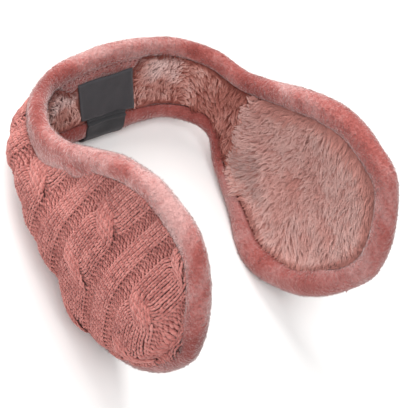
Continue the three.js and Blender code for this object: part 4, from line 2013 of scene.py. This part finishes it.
    def rings(self, first: float, last: float) -> tuple[Array, Array, Array, Array]:
        """Rings of the roll between two shares of the outline.

        Args:
            first: share of the outline where the roll starts.
            last: share where it ends.

        Returns:
            Points [ring, step] in metres, the tone of each point with its random brushing and painted light
            and shade, its seam share, which sets the painted crease shade, and the places of the rings on the
            pattern.
        """
        length = abs(last - first) * OUTLINE.length
        number = max(8, int(length / self.ring_gap))
        share = np.linspace(first, last, number + 1)
        hair = (last - first) / number * 0.03
        share = np.concatenate([share[:1], [first + hair], share[1:-1], [last - hair], share[-1:]])
        walked = np.abs(share - first) * OUTLINE.length
        place, inward = OUTLINE.at(share)
        width = PATTERN.roll_width_at(place[:, 0])
        half = PATTERN.roll_half_at(place[:, 0])
        inwards, out, seam = self.section(place, inward, width, half)
        from_end = np.minimum(walked, length - walked)
        pinch = self.joint_pinch * np.exp(-((from_end / self.joint_reach) ** 2))[:, None]
        turn = 2 * math.pi / self.pucker_length
        around = np.linspace(0, 1, inwards.shape[1])[None]
        run, climb = place[:, :1], place[:, 1:]
        ripple = np.sin(turn * (run - climb) + 3 * np.sin(run / 23) + 5 * around)
        swell = self.swell * self.swell_waves.at(run, climb + self.swell_around * around)
        body = 1 - smooth(seam, 0.0, 0.5)
        edge = smooth(seam, 0.05, 0.3) * smooth(-seam, -0.9, -0.4)
        grow = swell * body + self.pucker * ripple * edge - pinch * body
        out = out * (1 + grow / half[:, None])
        inwards = inwards - grow * 0.8 * body
        from_joint = (np.abs(run) - self.joint_along) / self.joint_length
        shift = self.joint_skew * smooth(around, 0.5, 1.0) * np.exp(-(from_joint**2))
        shift = shift * np.sign(run) * (climb > 0)
        along = run + inward[:, :1] * inwards + shift * np.abs(inward[:, 1:])
        up = climb + inward[:, 1:] * inwards + shift * np.abs(inward[:, :1]) * np.sign(run)
        turned = climb + self.brush_around * around
        brushed = self.brush_tone * self.brush_waves.at(run, turned)
        uneven = brushed + self.patch_tone * self.patch_waves.at(run, turned)
        calm = 1 - self.calm * smooth(run, *self.lobe_along)
        # the tone holds the random brushing and the painted light and shade
        tone = np.clip(0.5 + uneven * calm + self.painted_light_and_shade(run, climb), 0, 1)
        closed = (self.tucked_ends(rows) for rows in (PATTERN.place(along, up, out), tone, seam))
        return *closed, np.pad(place, ((1, 1), (0, 0)), mode="edge")

    def tucked_ends(self, rows: Array) -> Array:
        """Adds a small ring at each end, which closes the roll inside itself.

        Args:
            rows: points or values [ring, step].

        Returns:
            The rows with one more at each end.
        """
        ends = (rows[self.end_ring], rows[-self.end_ring - 1])
        first, last = (mix(ring, ring.mean(axis=0), self.end_shrink) for ring in ends)
        return np.concatenate([first[None], rows, last[None]])

    def add(self, parts: MeshParts, first: float, last: float, seed: int, bare: Sequence[float] = ()) -> None:
        """Adds the roll and its nap.

        Args:
            parts: where the triangles go.
            first: share of the outline where the roll starts.
            last: share where it ends.
            seed: seed of the nap.
            bare: two distances along between which the nap is pressed flat.
        """
        points, tone, seam, place = self.rings(first, last)
        triangles = facing_out(points, ring_triangles(*points.shape[:2]))
        # reach paints crease shade near the seams
        parts.add(points, triangles, tone, 0.5 * (1 - seam))
        covered = np.zeros(len(place), bool)
        if bare:
            covered = (place[:, 0] > bare[0]) & (place[:, 0] < bare[1])
        covered[[0, 1, -3, -2, -1]] = True
        self.nap(parts, points, tone, seam, covered, np.random.default_rng(seed))

    def stitch_row(self, parts: MeshParts) -> None:
        """Adds the row of sunken stitches between the upper roll and the strip above the label, painted in
        the velour's crease shade.

        Args:
            parts: where the triangles go.
        """
        along = np.arange(*self.stitch_along, self.stitch_gap)
        place, inward = OUTLINE.at(along / OUTLINE.length)
        share = np.linspace(-0.5, 0.5, 5)[None]
        width = PATTERN.roll_width_at(place[:, :1]) + self.stitch_inset
        run = place[:, :1] + self.stitch_length * share
        up = (place[:, 1:] + inward[:, 1:] * width) * np.ones_like(run)
        rise = self.stitch_lift - self.stitch_sink * np.cos(math.pi * share)
        centre = PATTERN.place(run, up, PADDING.height(Face.PLUSH, run, up) + rise)
        step = unit(np.gradient(centre, axis=1))
        flat = unit(np.cross(step, np.array([0.0, 0.0, 1.0])))
        angle = 2 * math.pi * np.arange(self.stitch_sides) / self.stitch_sides
        half = self.stitch_half * MM
        ring = hoops(centre, flat * half, np.cross(flat, step) * half, angle)
        # a reach near 0 paints the stitches in the velour's crease shade
        parts.add(ring, repeated(ring, ring_triangles(share.size, self.stitch_sides)), 0.2, 0.02)

    def nap(self, parts: MeshParts, grid: Array, tone: Array, seam: Array, covered: Array,
            rng: Random) -> None:
        """Adds the short nap over the roll.

        Args:
            parts: where the triangles go.
            grid: points [ring, step] of the roll.
            tone: tone of each point, with its random brushing and painted light and shade.
            seam: how near each point is to a seam, which sets the painted crease shade.
            covered: which rings have no nap.
            rng: source of the roots.
        """
        run = np.gradient(grid, axis=0)
        around = np.gradient(grid, axis=1)
        area = np.linalg.norm(np.cross(run, around), axis=-1)[:-1, 1:-1] / MM**2
        area = area * (seam[:-1, 1:-1] < self.nap_seam) * ~covered[:-1, None]
        number = int(self.nap_density * area.sum())
        cell = rng.choice(area.size, number, p=area.ravel() / area.sum())
        i, j = np.divmod(cell, area.shape[1])
        j = j + 1
        a, b = rng.random((2, number, 1))
        root = mix(mix(grid[i, j], grid[i + 1, j], a), mix(grid[i, j + 1], grid[i + 1, j + 1], a), b)
        normal = unit(np.cross(run[i, j], around[i, j]))
        middle = grid[:, self.middle_steps(grid.shape[1])].mean(axis=1)[i]
        normal = normal * np.where(np.einsum("nk,nk->n", normal, root - middle) < 0, -1, 1)[:, None]
        stroke = unit(run[i, j]) * rng.normal(0.6, 0.45, (number, 1))
        stroke = stroke + unit(around[i, j]) * rng.normal(0.2, 0.5, (number, 1))
        lean = unit(normal * self.nap_stand + stroke)
        tip = root + lean * (self.nap_length * MM) * rng.uniform(*self.nap_uneven, (number, 1))
        flat = unit(np.cross(lean, normal))
        half = self.nap_half * MM
        angle = 2 * math.pi * np.arange(self.nap_sides) / self.nap_sides
        base = hoops(root - normal * self.nap_root * MM, flat * half, np.cross(flat, lean) * half, angle)
        points = np.concatenate([base, tip[:, None]], axis=1)
        points[..., 2] = np.maximum(points[..., 2], 0)
        triangles = repeated(points, np.array([[0, 2, 1], [0, 1, 3], [1, 2, 3], [2, 0, 3]]))
        size = points.shape[1]
        # the nap takes the roll's tone with its painted light and shade
        shade = np.clip(tone[i, j] + rng.normal(0, self.nap_tone, number), 0, 1)
        near = seam[i, j][:, None]
        # the nap's reach paints crease shade near the seams
        reach = np.concatenate([np.tile(0.5 - 0.5 * near, self.nap_sides), 1 - 0.6 * near], axis=1)
        soft = unit(mix(unit(points - root[:, None]), normal[:, None], self.nap_softness))
        parts.add(points, triangles, np.repeat(shade, size), reach, None, soft)

    def middle_steps(self, steps: int) -> slice:
        """The steps of a ring that go round the outside of the roll."""
        flank = (steps - self.arc_steps - 1) // 2
        return slice(flank, steps - flank)


# ---------- Sub-assemblies ----------


@dataclass
class Maker:
    """What the sub-assemblies share: the finishes' materials and the way a piece joins the frame."""

    materials: dict[str, bpy.types.Material]

    def finish_piece(self, parts: MeshParts, name: str, node: str, slot: str) -> bpy.types.Object:
        """Builds a piece, dresses it and sets it on the frame.

        Args:
            parts: the piece's triangles.
            name: the piece's name.
            node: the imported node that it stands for.
            slot: the record's material slot, which also names its finish.

        Returns:
            The piece.
        """
        piece = parts.build(name)
        piece.data.materials.append(self.materials[slot])
        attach(piece, BODY)
        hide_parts(node)
        LOG.info("%s: %d triangles, stands for %s", name, len(piece.data.polygons), node)
        return piece


@dataclass
class Band:
    """The band round the back of the head: knit, plush, its two rolls, and the label with its keeper."""

    lay_waves: ClassVar[Waves] = Waves(71, 24)
    warmth_waves: ClassVar[Waves] = Waves(73, 15)
    label_margin: ClassVar[Triple] = (1.2, 0.2, 2.5)
    keeper_along: ClassVar[Pair] = (-14.5, 12.5)
    keeper_up: ClassVar[float] = -10
    hem_along: ClassVar[Pair] = (12.0, 52.0)
    hem_up: ClassVar[float] = -14.8

    maker: Maker
    knit: CableKnit = field(default_factory=CableKnit)
    roll: VelourRoll = field(default_factory=VelourRoll)
    pile: PlushPile = field(default_factory=lambda: PlushPile(
        lay=Band.lay, warmth=Band.warmth, seed=11, length=(3.8, 6.5), lock_gap=1.7, strands=5,
        rise=2.3, stand=1.0, layer=0.8, wave=0.4, wave_length=5.0, gather=0.22, half_width=0.22,
        softness=0.6, collar_rise=0, overhang=2.0,
    ))
    columns: int = 150
    fill: float = 0.6

    @staticmethod
    def lay(along: Array, up: Array) -> Array:
        """Which way the locks lie on the band, as an angle from the direction along the pattern."""
        return mix(1.25, -1.0, smooth(along, 34, 58)) + 0.55 * Band.lay_waves.at(along, up)

    @staticmethod
    def warmth(along: Array, up: Array) -> Array:
        """How rusty the pile is: pale where it stands up beside the label, deeper towards the necks.

        Args:
            along: distances along the pattern.
            up: heights across the band.

        Returns:
            How rusty the pile is, from 0 to 1.
        """
        pale = np.exp(-(((along - 29) / 12) ** 2)) * smooth(up, -8, 6)
        rusty = smooth(along, 40, 66) + 0.5 * np.exp(-(((along - 34) / 7) ** 2)) * smooth(-up, 0, 10)
        return np.clip(0.5 - 0.6 * pale + 0.4 * rusty + 0.16 * Band.warmth_waves.at(along, up), 0, 1)

    def stations(self) -> tuple[Array, Array]:
        """Stations over the band from the wearer's right neck to the left, with their sides."""
        station = np.linspace(-PATTERN.neck_station, PATTERN.neck_station, self.columns)
        return np.abs(station), np.where(station < 0, -1.0, 1.0)

    @staticmethod
    def holds(along: Array, up: Array) -> Array:
        """Which places on the pattern are on the band."""
        return PADDING.station.at(along, up) < PATTERN.neck_station

    def has_pile(self, along: Array, up: Array) -> Array:
        """Which places on the pattern grow pile: not under the label or the keeper nor on the smooth hem.

        Args:
            along: distances along the pattern.
            up: heights across the band.

        Returns:
            True for each place that does.
        """
        foot_left, top_left, foot_right, top_right = Label.corners
        margin_left, margin_right, margin_foot = self.label_margin
        rise = (up - foot_left[1]) / (top_left[1] - foot_left[1])
        label = along > mix(foot_left[0], top_left[0], rise) - margin_left
        label &= along < mix(foot_right[0], top_right[0], rise) + margin_right
        label &= up > foot_right[1] - margin_foot
        size = np.abs(along)
        hem = (size > self.hem_along[0]) & (size < self.hem_along[1]) & (up < self.hem_up)
        keeper = (along > self.keeper_along[0]) & (along < self.keeper_along[1]) & (up < self.keeper_up)
        room = VELOUR.plush_room(along, up)
        return (size < Cup.pile_edge(up) + 0.3) & (room > 0.6) & ~(label | keeper | hem)

    def build(self) -> None:
        """Makes the band's pieces."""
        stations, sides = self.stations()
        parts = MeshParts()
        self.knit.ground(parts, stations, sides)
        self.knit.stitches(parts, self.holds, 3)
        self.maker.finish_piece(parts, "KnitBand", "knit_band", "knit")
        parts = MeshParts()
        self.pile.ground(parts, stations, sides)
        self.pile.grow(parts, self.has_pile)
        self.maker.finish_piece(parts, "PlushBand", "plush_band", "plush_deep")
        top, foot = OUTLINE.neck_shares()
        for edge, first, last, seed, bare in (
            (Edge.UPPER, -top, top, 21, ()), (Edge.LOWER, foot, 1 - foot, 22, self.keeper_along),
        ):
            parts = MeshParts()
            self.roll.add(parts, first, last, seed, bare)
            if edge is Edge.UPPER:
                self.roll.stitch_row(parts)
            name = f"RimBand{edge.value.capitalize()}"
            self.maker.finish_piece(parts, name, f"rim_band_{edge.value}", "velour")


@dataclass
class Cup:
    """One ear cup: domed knit outside, dished plush inside, and the roll round its edge."""

    edge_up: ClassVar[Row] = (-43, -40, -37, -30, -5, 6)
    edge_along: ClassVar[Row] = (98, 93, 89.5, 87, 85.5, 86.5)
    ragged: ClassVar[Waves] = Waves(61, 7)
    lay_waves: ClassVar[Waves] = Waves(53, 40)
    warmth_waves: ClassVar[Waves] = Waves(59, 19)
    grey_patch: ClassVar[Patch] = Patch(97, -28, 13, 12)
    rosy_patch: ClassVar[Patch] = Patch(126, -18, 13, 9)
    ragged_width: ClassVar[float] = 1.2
    pile_past: ClassVar[float] = 3.5
    pile_front: ClassVar[float] = 178
    pile_room: ClassVar[float] = 0.4
    fringe_past: ClassVar[Pair] = (0.3, 4.2)
    fringe_room: ClassVar[float] = 0.2

    maker: Maker
    side: Side
    knit: CableKnit = field(default_factory=CableKnit)
    roll: VelourRoll = field(default_factory=VelourRoll)
    pile: PlushPile = field(default_factory=lambda: PlushPile(
        lay=Cup.lay, warmth=Cup.warmth, seed=17, neck_overhang=2.5,
    ))
    fringe: PlushPile = field(default_factory=lambda: PlushPile(
        lay=lambda along, up: Cup.lay(along, up) - 0.3, warmth=Cup.warmth, seed=19, length=(2.6, 5.0),
        lock_gap=1.15, spread=0.8, rise=2.2, wave=0.35, gather=0.3, neck_overhang=2.0,
    ))
    columns: int = 90
    fill: float = 0.65

    @staticmethod
    def pile_edge(up: Array) -> Array:
        """Distance along to the edge of the cup's backing cloth over the band."""
        return np.interp(up, Cup.edge_up, Cup.edge_along)

    @staticmethod
    def lay(along: Array, up: Array) -> Array:
        """Which way the locks lie on a cup, as an angle from the direction along the pattern."""
        turned = smooth(along - 0.55 * up, 98, 165)
        return mix(-2.4, -1.15, turned) + 0.3 * Cup.lay_waves.at(along, up)

    @staticmethod
    def upper_front(along: Array, up: Array) -> Array:
        """Which places are by the upper and front edges of a cup, where the pile stops short of the roll.

        Args:
            along: distances along the pattern.
            up: heights across the band.

        Returns:
            How near each place is, from 0 to 1.
        """
        size = np.abs(along)
        near = np.maximum(smooth(up, -14, 8), smooth(size, 142, 160) * smooth(up, -58, -30))
        return near * smooth(size, 90, 102)

    @staticmethod
    def warmth(along: Array, up: Array) -> Array:
        """How rosy the pile is: greyer by the neck, rosy in the middle, and rusty with painted shade in the
        creases by the upper and front edges.

        Args:
            along: distances along the pattern.
            up: heights across the band.

        Returns:
            How rosy the pile is, from 0 to 1.
        """
        grey, rosy = (patch.at(along, up) for patch in (Cup.grey_patch, Cup.rosy_patch))
        # painted shade: rusty and darker in the crease by the upper and front rolls
        edge = smooth(-PADDING.seam_room(along, up), -9, -2) * Cup.upper_front(along, up)
        own = 0.15 * Cup.warmth_waves.at(along, up)
        return np.clip(0.52 - 0.6 * grey + 0.38 * rosy + 0.75 * edge + own, 0, 1)

    def stations(self) -> tuple[Array, Array]:
        """Stations over the cup from the neck to its front, with their side."""
        station = np.linspace(PATTERN.neck_station, PATTERN.stations - 1, self.columns)
        return station, np.full(self.columns, float(self.side.value))

    def holds(self, along: Array, up: Array) -> Array:
        """Which places on the pattern are on this cup."""
        return (PADDING.station.at(along, up) >= PATTERN.neck_station) & (along * self.side.value > 0)

    def past_edge(self, along: Array, up: Array) -> Array:
        """Distances past the ragged edge of the pale plush, none of them on the other cup's side."""
        past = np.abs(along) - (self.pile_edge(up) + self.ragged_width * self.ragged.at(along, up))
        return np.where(along * self.side.value > 0, past, -np.inf)

    def has_pile(self, along: Array, up: Array) -> Array:
        """Which places on the pattern grow pile."""
        here = (self.past_edge(along, up) > self.pile_past) & (np.abs(along) < self.pile_front)
        return here & (VELOUR.plush_room(along, up) > self.pile_room)

    def has_fringe(self, along: Array, up: Array) -> Array:
        """Which places on the pattern grow the short dense locks at the pale plush's edge.

        Args:
            along: distances along the pattern.
            up: heights across the band.

        Returns:
            True for each place that does.
        """
        past = self.past_edge(along, up)
        here = (past > self.fringe_past[0]) & (past < self.fringe_past[1])
        return here & (VELOUR.plush_room(along, up) > self.fringe_room)

    def build(self) -> None:
        """Makes the cup's pieces."""
        stations, sides = self.stations()
        sign, word = self.side.value, self.side.word
        title = word.capitalize()
        parts = MeshParts()
        self.knit.ground(parts, stations, sides)
        self.knit.stitches(parts, self.holds, 5 + sign)
        self.maker.finish_piece(parts, f"KnitCup{title}", f"knit_cup_{word}", "knit")
        parts = MeshParts()
        self.pile.ground(parts, stations, sides)
        self.pile.collar(parts, float(sign))
        self.pile.grow(parts, self.has_pile)
        self.fringe.grow(parts, self.has_fringe)
        piece = self.maker.finish_piece(parts, f"PlushCup{title}", f"plush_cup_{word}", "plush_pale")
        parts = MeshParts()
        top, foot = OUTLINE.neck_shares()
        self.roll.add(parts, sign * top, sign * foot, 31 + sign)
        self.maker.finish_piece(parts, f"RimCup{title}", f"rim_cup_{word}", "velour")


@dataclass
class Label:
    """Bare woven label sewn to the plush at the middle of the back, a little askew."""

    corners: ClassVar[tuple[Pair, ...]] = ((-16.8, -12.6), (-21.6, 8.3), (17.2, -13.9), (11.4, 10.0))
    bow_waves: ClassVar[Waves] = Waves(81, 30)
    crease_waves: ClassVar[Waves] = Waves(82, 9)

    maker: Maker
    border: float = 1.1
    border_soft: float = 0.3
    border_rise: float = 0.08
    edge_fold: float = 0.4
    edge_sink: float = 0.4
    edge_sink_width: float = 1.6
    bow: float = 0.25
    crease: float = 0.08
    edge_paling: float = 0.45
    tone: float = 0.5
    lift: float = 1.9
    thick: float = 0.45
    columns: int = 72
    rows: int = 44

    def build(self) -> None:
        """Makes the label."""
        across, rise = shares(self.columns, self.rows)
        foot_left, top_left, foot_right, top_right = (np.array(corner) for corner in self.corners)
        foot = mix(foot_left, foot_right, across[..., None])
        place = mix(foot, mix(top_left, top_right, across[..., None]), rise[..., None])
        along, up = place[..., 0], place[..., 1]
        width, height = (
            float(np.linalg.norm(a - b) + np.linalg.norm(c - d)) / 2
            for a, b, c, d in (
                (foot_right, foot_left, top_right, top_left), (top_left, foot_left, top_right, foot_right),
            )
        )
        edge = np.minimum(width * (0.5 - np.abs(across - 0.5)), height * (0.5 - np.abs(rise - 0.5)))
        hem = smooth(-edge, -self.border - self.border_soft, -self.border + self.border_soft)
        fold = smooth(edge, 0.0, self.edge_fold) * hem
        bow = self.bow * self.bow_waves.at(along, up) + self.crease * self.crease_waves.at(along, up)
        bow = bow - self.edge_sink * smooth(-edge, -self.edge_sink_width, 0)
        level = PADDING.height(Face.PLUSH, along, up) - self.lift - bow - self.border_rise * fold
        front, back = PATTERN.place(along, up, level - self.thick), PATTERN.place(along, up, level)
        parts = MeshParts()
        # paler along the raised hem fold
        parts.add_slab(front, back, self.tone, self.edge_paling * fold, flow_of(along, up))
        piece = self.maker.finish_piece(parts, "LabelPatch", "label_patch", "label")


@dataclass
class Keeper:
    """Folded satin tab that hangs from under the label and wraps the lower roll."""

    ripple_waves: ClassVar[Waves] = Waves(91, 14)

    maker: Maker
    along: float = -1
    width: float = 24
    thick: float = 0.8
    margin: float = 1.0
    round_share: float = 0.6
    columns: int = 50
    arc_steps: int = 30
    lead_steps: int = 30
    back_steps: int = 6
    label_foot: float = -12.2
    label_lift: float = 1.9
    folds: Pair = (1.6, 3.4)
    fold_rise: float = 0.8
    fold_width: float = 0.55
    paling_width: float = 0.7
    paling: float = 0.3
    ripple: float = 0.03
    tone: float = 0.5

    def lines(self, fat: float) -> tuple[Array, Array]:
        """Inward and outward places of the tab from the label's foot to the knit's seam.

        Args:
            fat: extra width of the roll under it.

        Returns:
            Distances inwards from the outline and distances out.
        """
        width, half = PATTERN.roll_width[0], PATTERN.roll_half[0]
        rounded = self.round_share * width
        front = half + VELOUR.fat_rise * fat + self.margin
        angle = np.linspace(-math.pi / 2, math.pi / 2, self.arc_steps)
        arc_in = rounded - (rounded + self.margin + VELOUR.fat_bulge * fat) * np.cos(angle)
        arc_out = np.where(angle < 0, front, half + self.margin) * np.sin(angle)
        lead = np.linspace(self.label_foot - PATTERN.lower[0][1], rounded, self.lead_steps, endpoint=False)
        walked = lead[0] - lead
        lowered = smooth(-lead, -width - fat - 2.5, -0.9 * width - fat)
        lead_out = -mix(PADDING.plush_seam * half + self.label_lift, front, lowered)
        for fold in self.folds:
            lead_out = lead_out - self.fold_rise * np.exp(-(((walked - fold) / self.fold_width) ** 2))
        back = np.linspace(rounded, width, self.back_steps + 1)[1:]
        back_out = mix(half, PADDING.knit_seam * half, smooth(back, rounded, width)) + self.margin
        return np.concatenate([lead, arc_in, back]), np.concatenate([lead_out, arc_out, back_out])

    def build(self) -> None:
        """Makes the tab."""
        along = self.along + self.width * np.linspace(-0.5, 0.5, self.columns)
        foot, _ = OUTLINE.at(0.5 - along / OUTLINE.length)
        fats = VELOUR.fat(along, np.full(self.columns, PATTERN.lower[0][1]))
        inwards, out = (np.stack(rows) for rows in zip(*(self.lines(float(fat)) for fat in fats)))
        out = out * (1 + self.ripple * self.ripple_waves.at(along[:, None], 2 * inwards))
        slope = unit(np.stack([np.gradient(inwards, axis=1), np.gradient(out, axis=1)], axis=-1))
        up = foot[:, 1:] + inwards
        front = PATTERN.place(along[:, None], up, out)
        behind = self.thick * slope
        back = PATTERN.place(along[:, None], up + behind[..., 1], out - behind[..., 0])
        middle = self.columns // 2
        steps = np.hypot(np.diff(inwards[middle]), np.diff(out[middle]))
        walked = np.concatenate([[0], np.cumsum(steps)])
        fallen = inwards[:, :1] - inwards
        # paler along the folds
        paling = sum(np.exp(-(((fallen - fold) / self.paling_width) ** 2)) for fold in self.folds)
        parts = MeshParts()
        parts.add_slab(front, back, self.tone, self.paling * paling, flow_of(along[:, None], walked[None]))
        piece = self.maker.finish_piece(parts, "KeeperTab", "keeper_tab", "keeper")


# ---------- Studio ----------


@dataclass(frozen=True)
class Studio:
    """Plain pale floor, soft lights and the camera."""

    camera_place: Triple = (-0.43408, -0.10408, 0.58209)
    camera_target: Triple = (0.01244, -0.01025, 0.03430)
    camera_up: Triple = (0.27372, 0.88576, 0.37483)
    lens: float = 133.63
    sensor: float = 36.0
    clip: Pair = (0.05, 20.0)
    floor_size: float = 6.0
    floor_colour: Colour = (0.93, 0.93, 0.925)
    floor_roughness: float = 0.9
    floor_specular: float = 0.1
    world_strength: float = 0.455
    lamps: tuple[tuple[str, Triple, float, float, Colour], ...] = (
        ("KeyLight", (0.1, 1.15, 0.85), 0.9, 25.0, (1.0, 0.985, 0.97)),
        ("FillLight", (-0.65, -0.12, 1.15), 1.0, 12.5, (1.0, 1.0, 1.0)),
    )

    @staticmethod
    def stand(name: str, data: bpy.types.ID) -> bpy.types.Object:
        """Adds an object to the scene.

        Args:
            name: the object's name.
            data: what it holds.

        Returns:
            The object.
        """
        item = bpy.data.objects.new(name, data)
        bpy.context.scene.collection.objects.link(item)
        return item

    def camera(self) -> None:
        """Makes the camera and makes it the scene's own."""
        data = bpy.data.cameras.new("Camera")
        data.lens = self.lens
        data.sensor_width = self.sensor
        data.clip_start, data.clip_end = self.clip
        camera = self.stand("Camera", data)
        place = Vector(self.camera_place)
        back = (place - Vector(self.camera_target)).normalized()
        right = Vector(self.camera_up).cross(back).normalized()
        turn = Matrix((right, back.cross(right), back)).transposed().to_4x4()
        camera.matrix_world = Matrix.Translation(place) @ turn
        bpy.context.scene.camera = camera

    def lamp(self, name: str, place: Triple, size: float, power: float, colour: Colour) -> None:
        """Adds a square area light that looks at the object.

        Args:
            name: the light's name.
            place: where it stands, in metres.
            size: length of its sides in metres.
            power: power in watts.
            colour: colour of its light.
        """
        data = bpy.data.lights.new(name, "AREA")
        data.size = size
        data.energy = power
        data.color = colour
        lamp = self.stand(name, data)
        lamp.location = place
        lamp.rotation_mode = "QUATERNION"
        lamp.rotation_quaternion = (Vector(self.camera_target) - Vector(place)).to_track_quat("-Z", "Y")

    def floor(self) -> None:
        """Makes the floor."""
        half = self.floor_size / 2
        mesh = bpy.data.meshes.new("Floor")
        corners = [(x, y, 0) for x, y in ((-half, -half), (half, -half), (half, half), (-half, half))]
        mesh.from_pydata(corners, [], [(0, 1, 2, 3)])
        floor = self.stand("Floor", mesh)
        material = bpy.data.materials.new("floor_paper")
        material.use_nodes = True
        shader = material.node_tree.nodes["Principled BSDF"]
        shader.inputs["Base Color"].default_value = (*self.floor_colour, 1)
        shader.inputs["Roughness"].default_value = self.floor_roughness
        shader.inputs["Specular IOR Level"].default_value = self.floor_specular
        mesh.materials.append(material)

    def build(self) -> None:
        """Makes the whole studio."""
        self.camera()
        self.floor()
        for lamp in self.lamps:
            self.lamp(*lamp)
        world = bpy.data.worlds.new("World")
        world.use_nodes = True
        background = world.node_tree.nodes["Background"]
        background.inputs["Color"].default_value = (1, 1, 1, 1)
        background.inputs["Strength"].default_value = self.world_strength
        bpy.context.scene.world = world
        bpy.context.scene.view_settings.view_transform = "Standard"


def make_materials() -> dict[str, bpy.types.Material]:
    """Makes the materials.

    Returns:
        The materials by the slot that they fill.
    """
    groups = Groups(mottle=fibre_mottle(), weave=plain_weave())
    rose = (1.0, 0.82, 0.8)
    white = (1.0, 1.0, 1.0)
    finishes: dict[str, Finish] = {
        "knit": YarnFinish("knit_yarn", 0.9, 0.3, 0.5, rose),
        "velour": VelourFinish("brushed_velour", 0.85, 0.9, 0.35, (1.0, 0.87, 0.86)),
        "plush_pale": PlushFinish("plush_pale", 0.85, 0.35, 0.4, rose),
        "plush_deep": PlushFinish(
            "plush_deep", 0.85, 0.3, 0.4, rose,
            root=(0.22, 0.05, 0.037), middle=(0.53, 0.20, 0.16), tip=(0.84, 0.49, 0.43),
            warm=(0.52, 0.185, 0.145), cool=(0.98, 0.70, 0.66),
        ),
        "label": RibbonFinish("label_cloth", 0.8, 0.15, 0.4, white),
        "keeper": RibbonFinish(
            "keeper_cloth", 0.6, 0.1, 0.4, white, 0.4,
            thread=(0.024, 0.026, 0.03), gap_shade=(0.016, 0.017, 0.02), paler=(0.07, 0.072, 0.077), threads=2.4,
        ),
    }
    return {slot: finish.make(groups) for slot, finish in finishes.items()}


def main() -> None:
    """Builds the studio and the ear warmer."""
    Studio().build()
    maker = Maker(make_materials())
    Band(maker).build()
    for side in Side:
        Cup(maker, side).build()
    Label(maker).build()
    Keeper(maker).build()


if __name__ == "__main__":
    main()
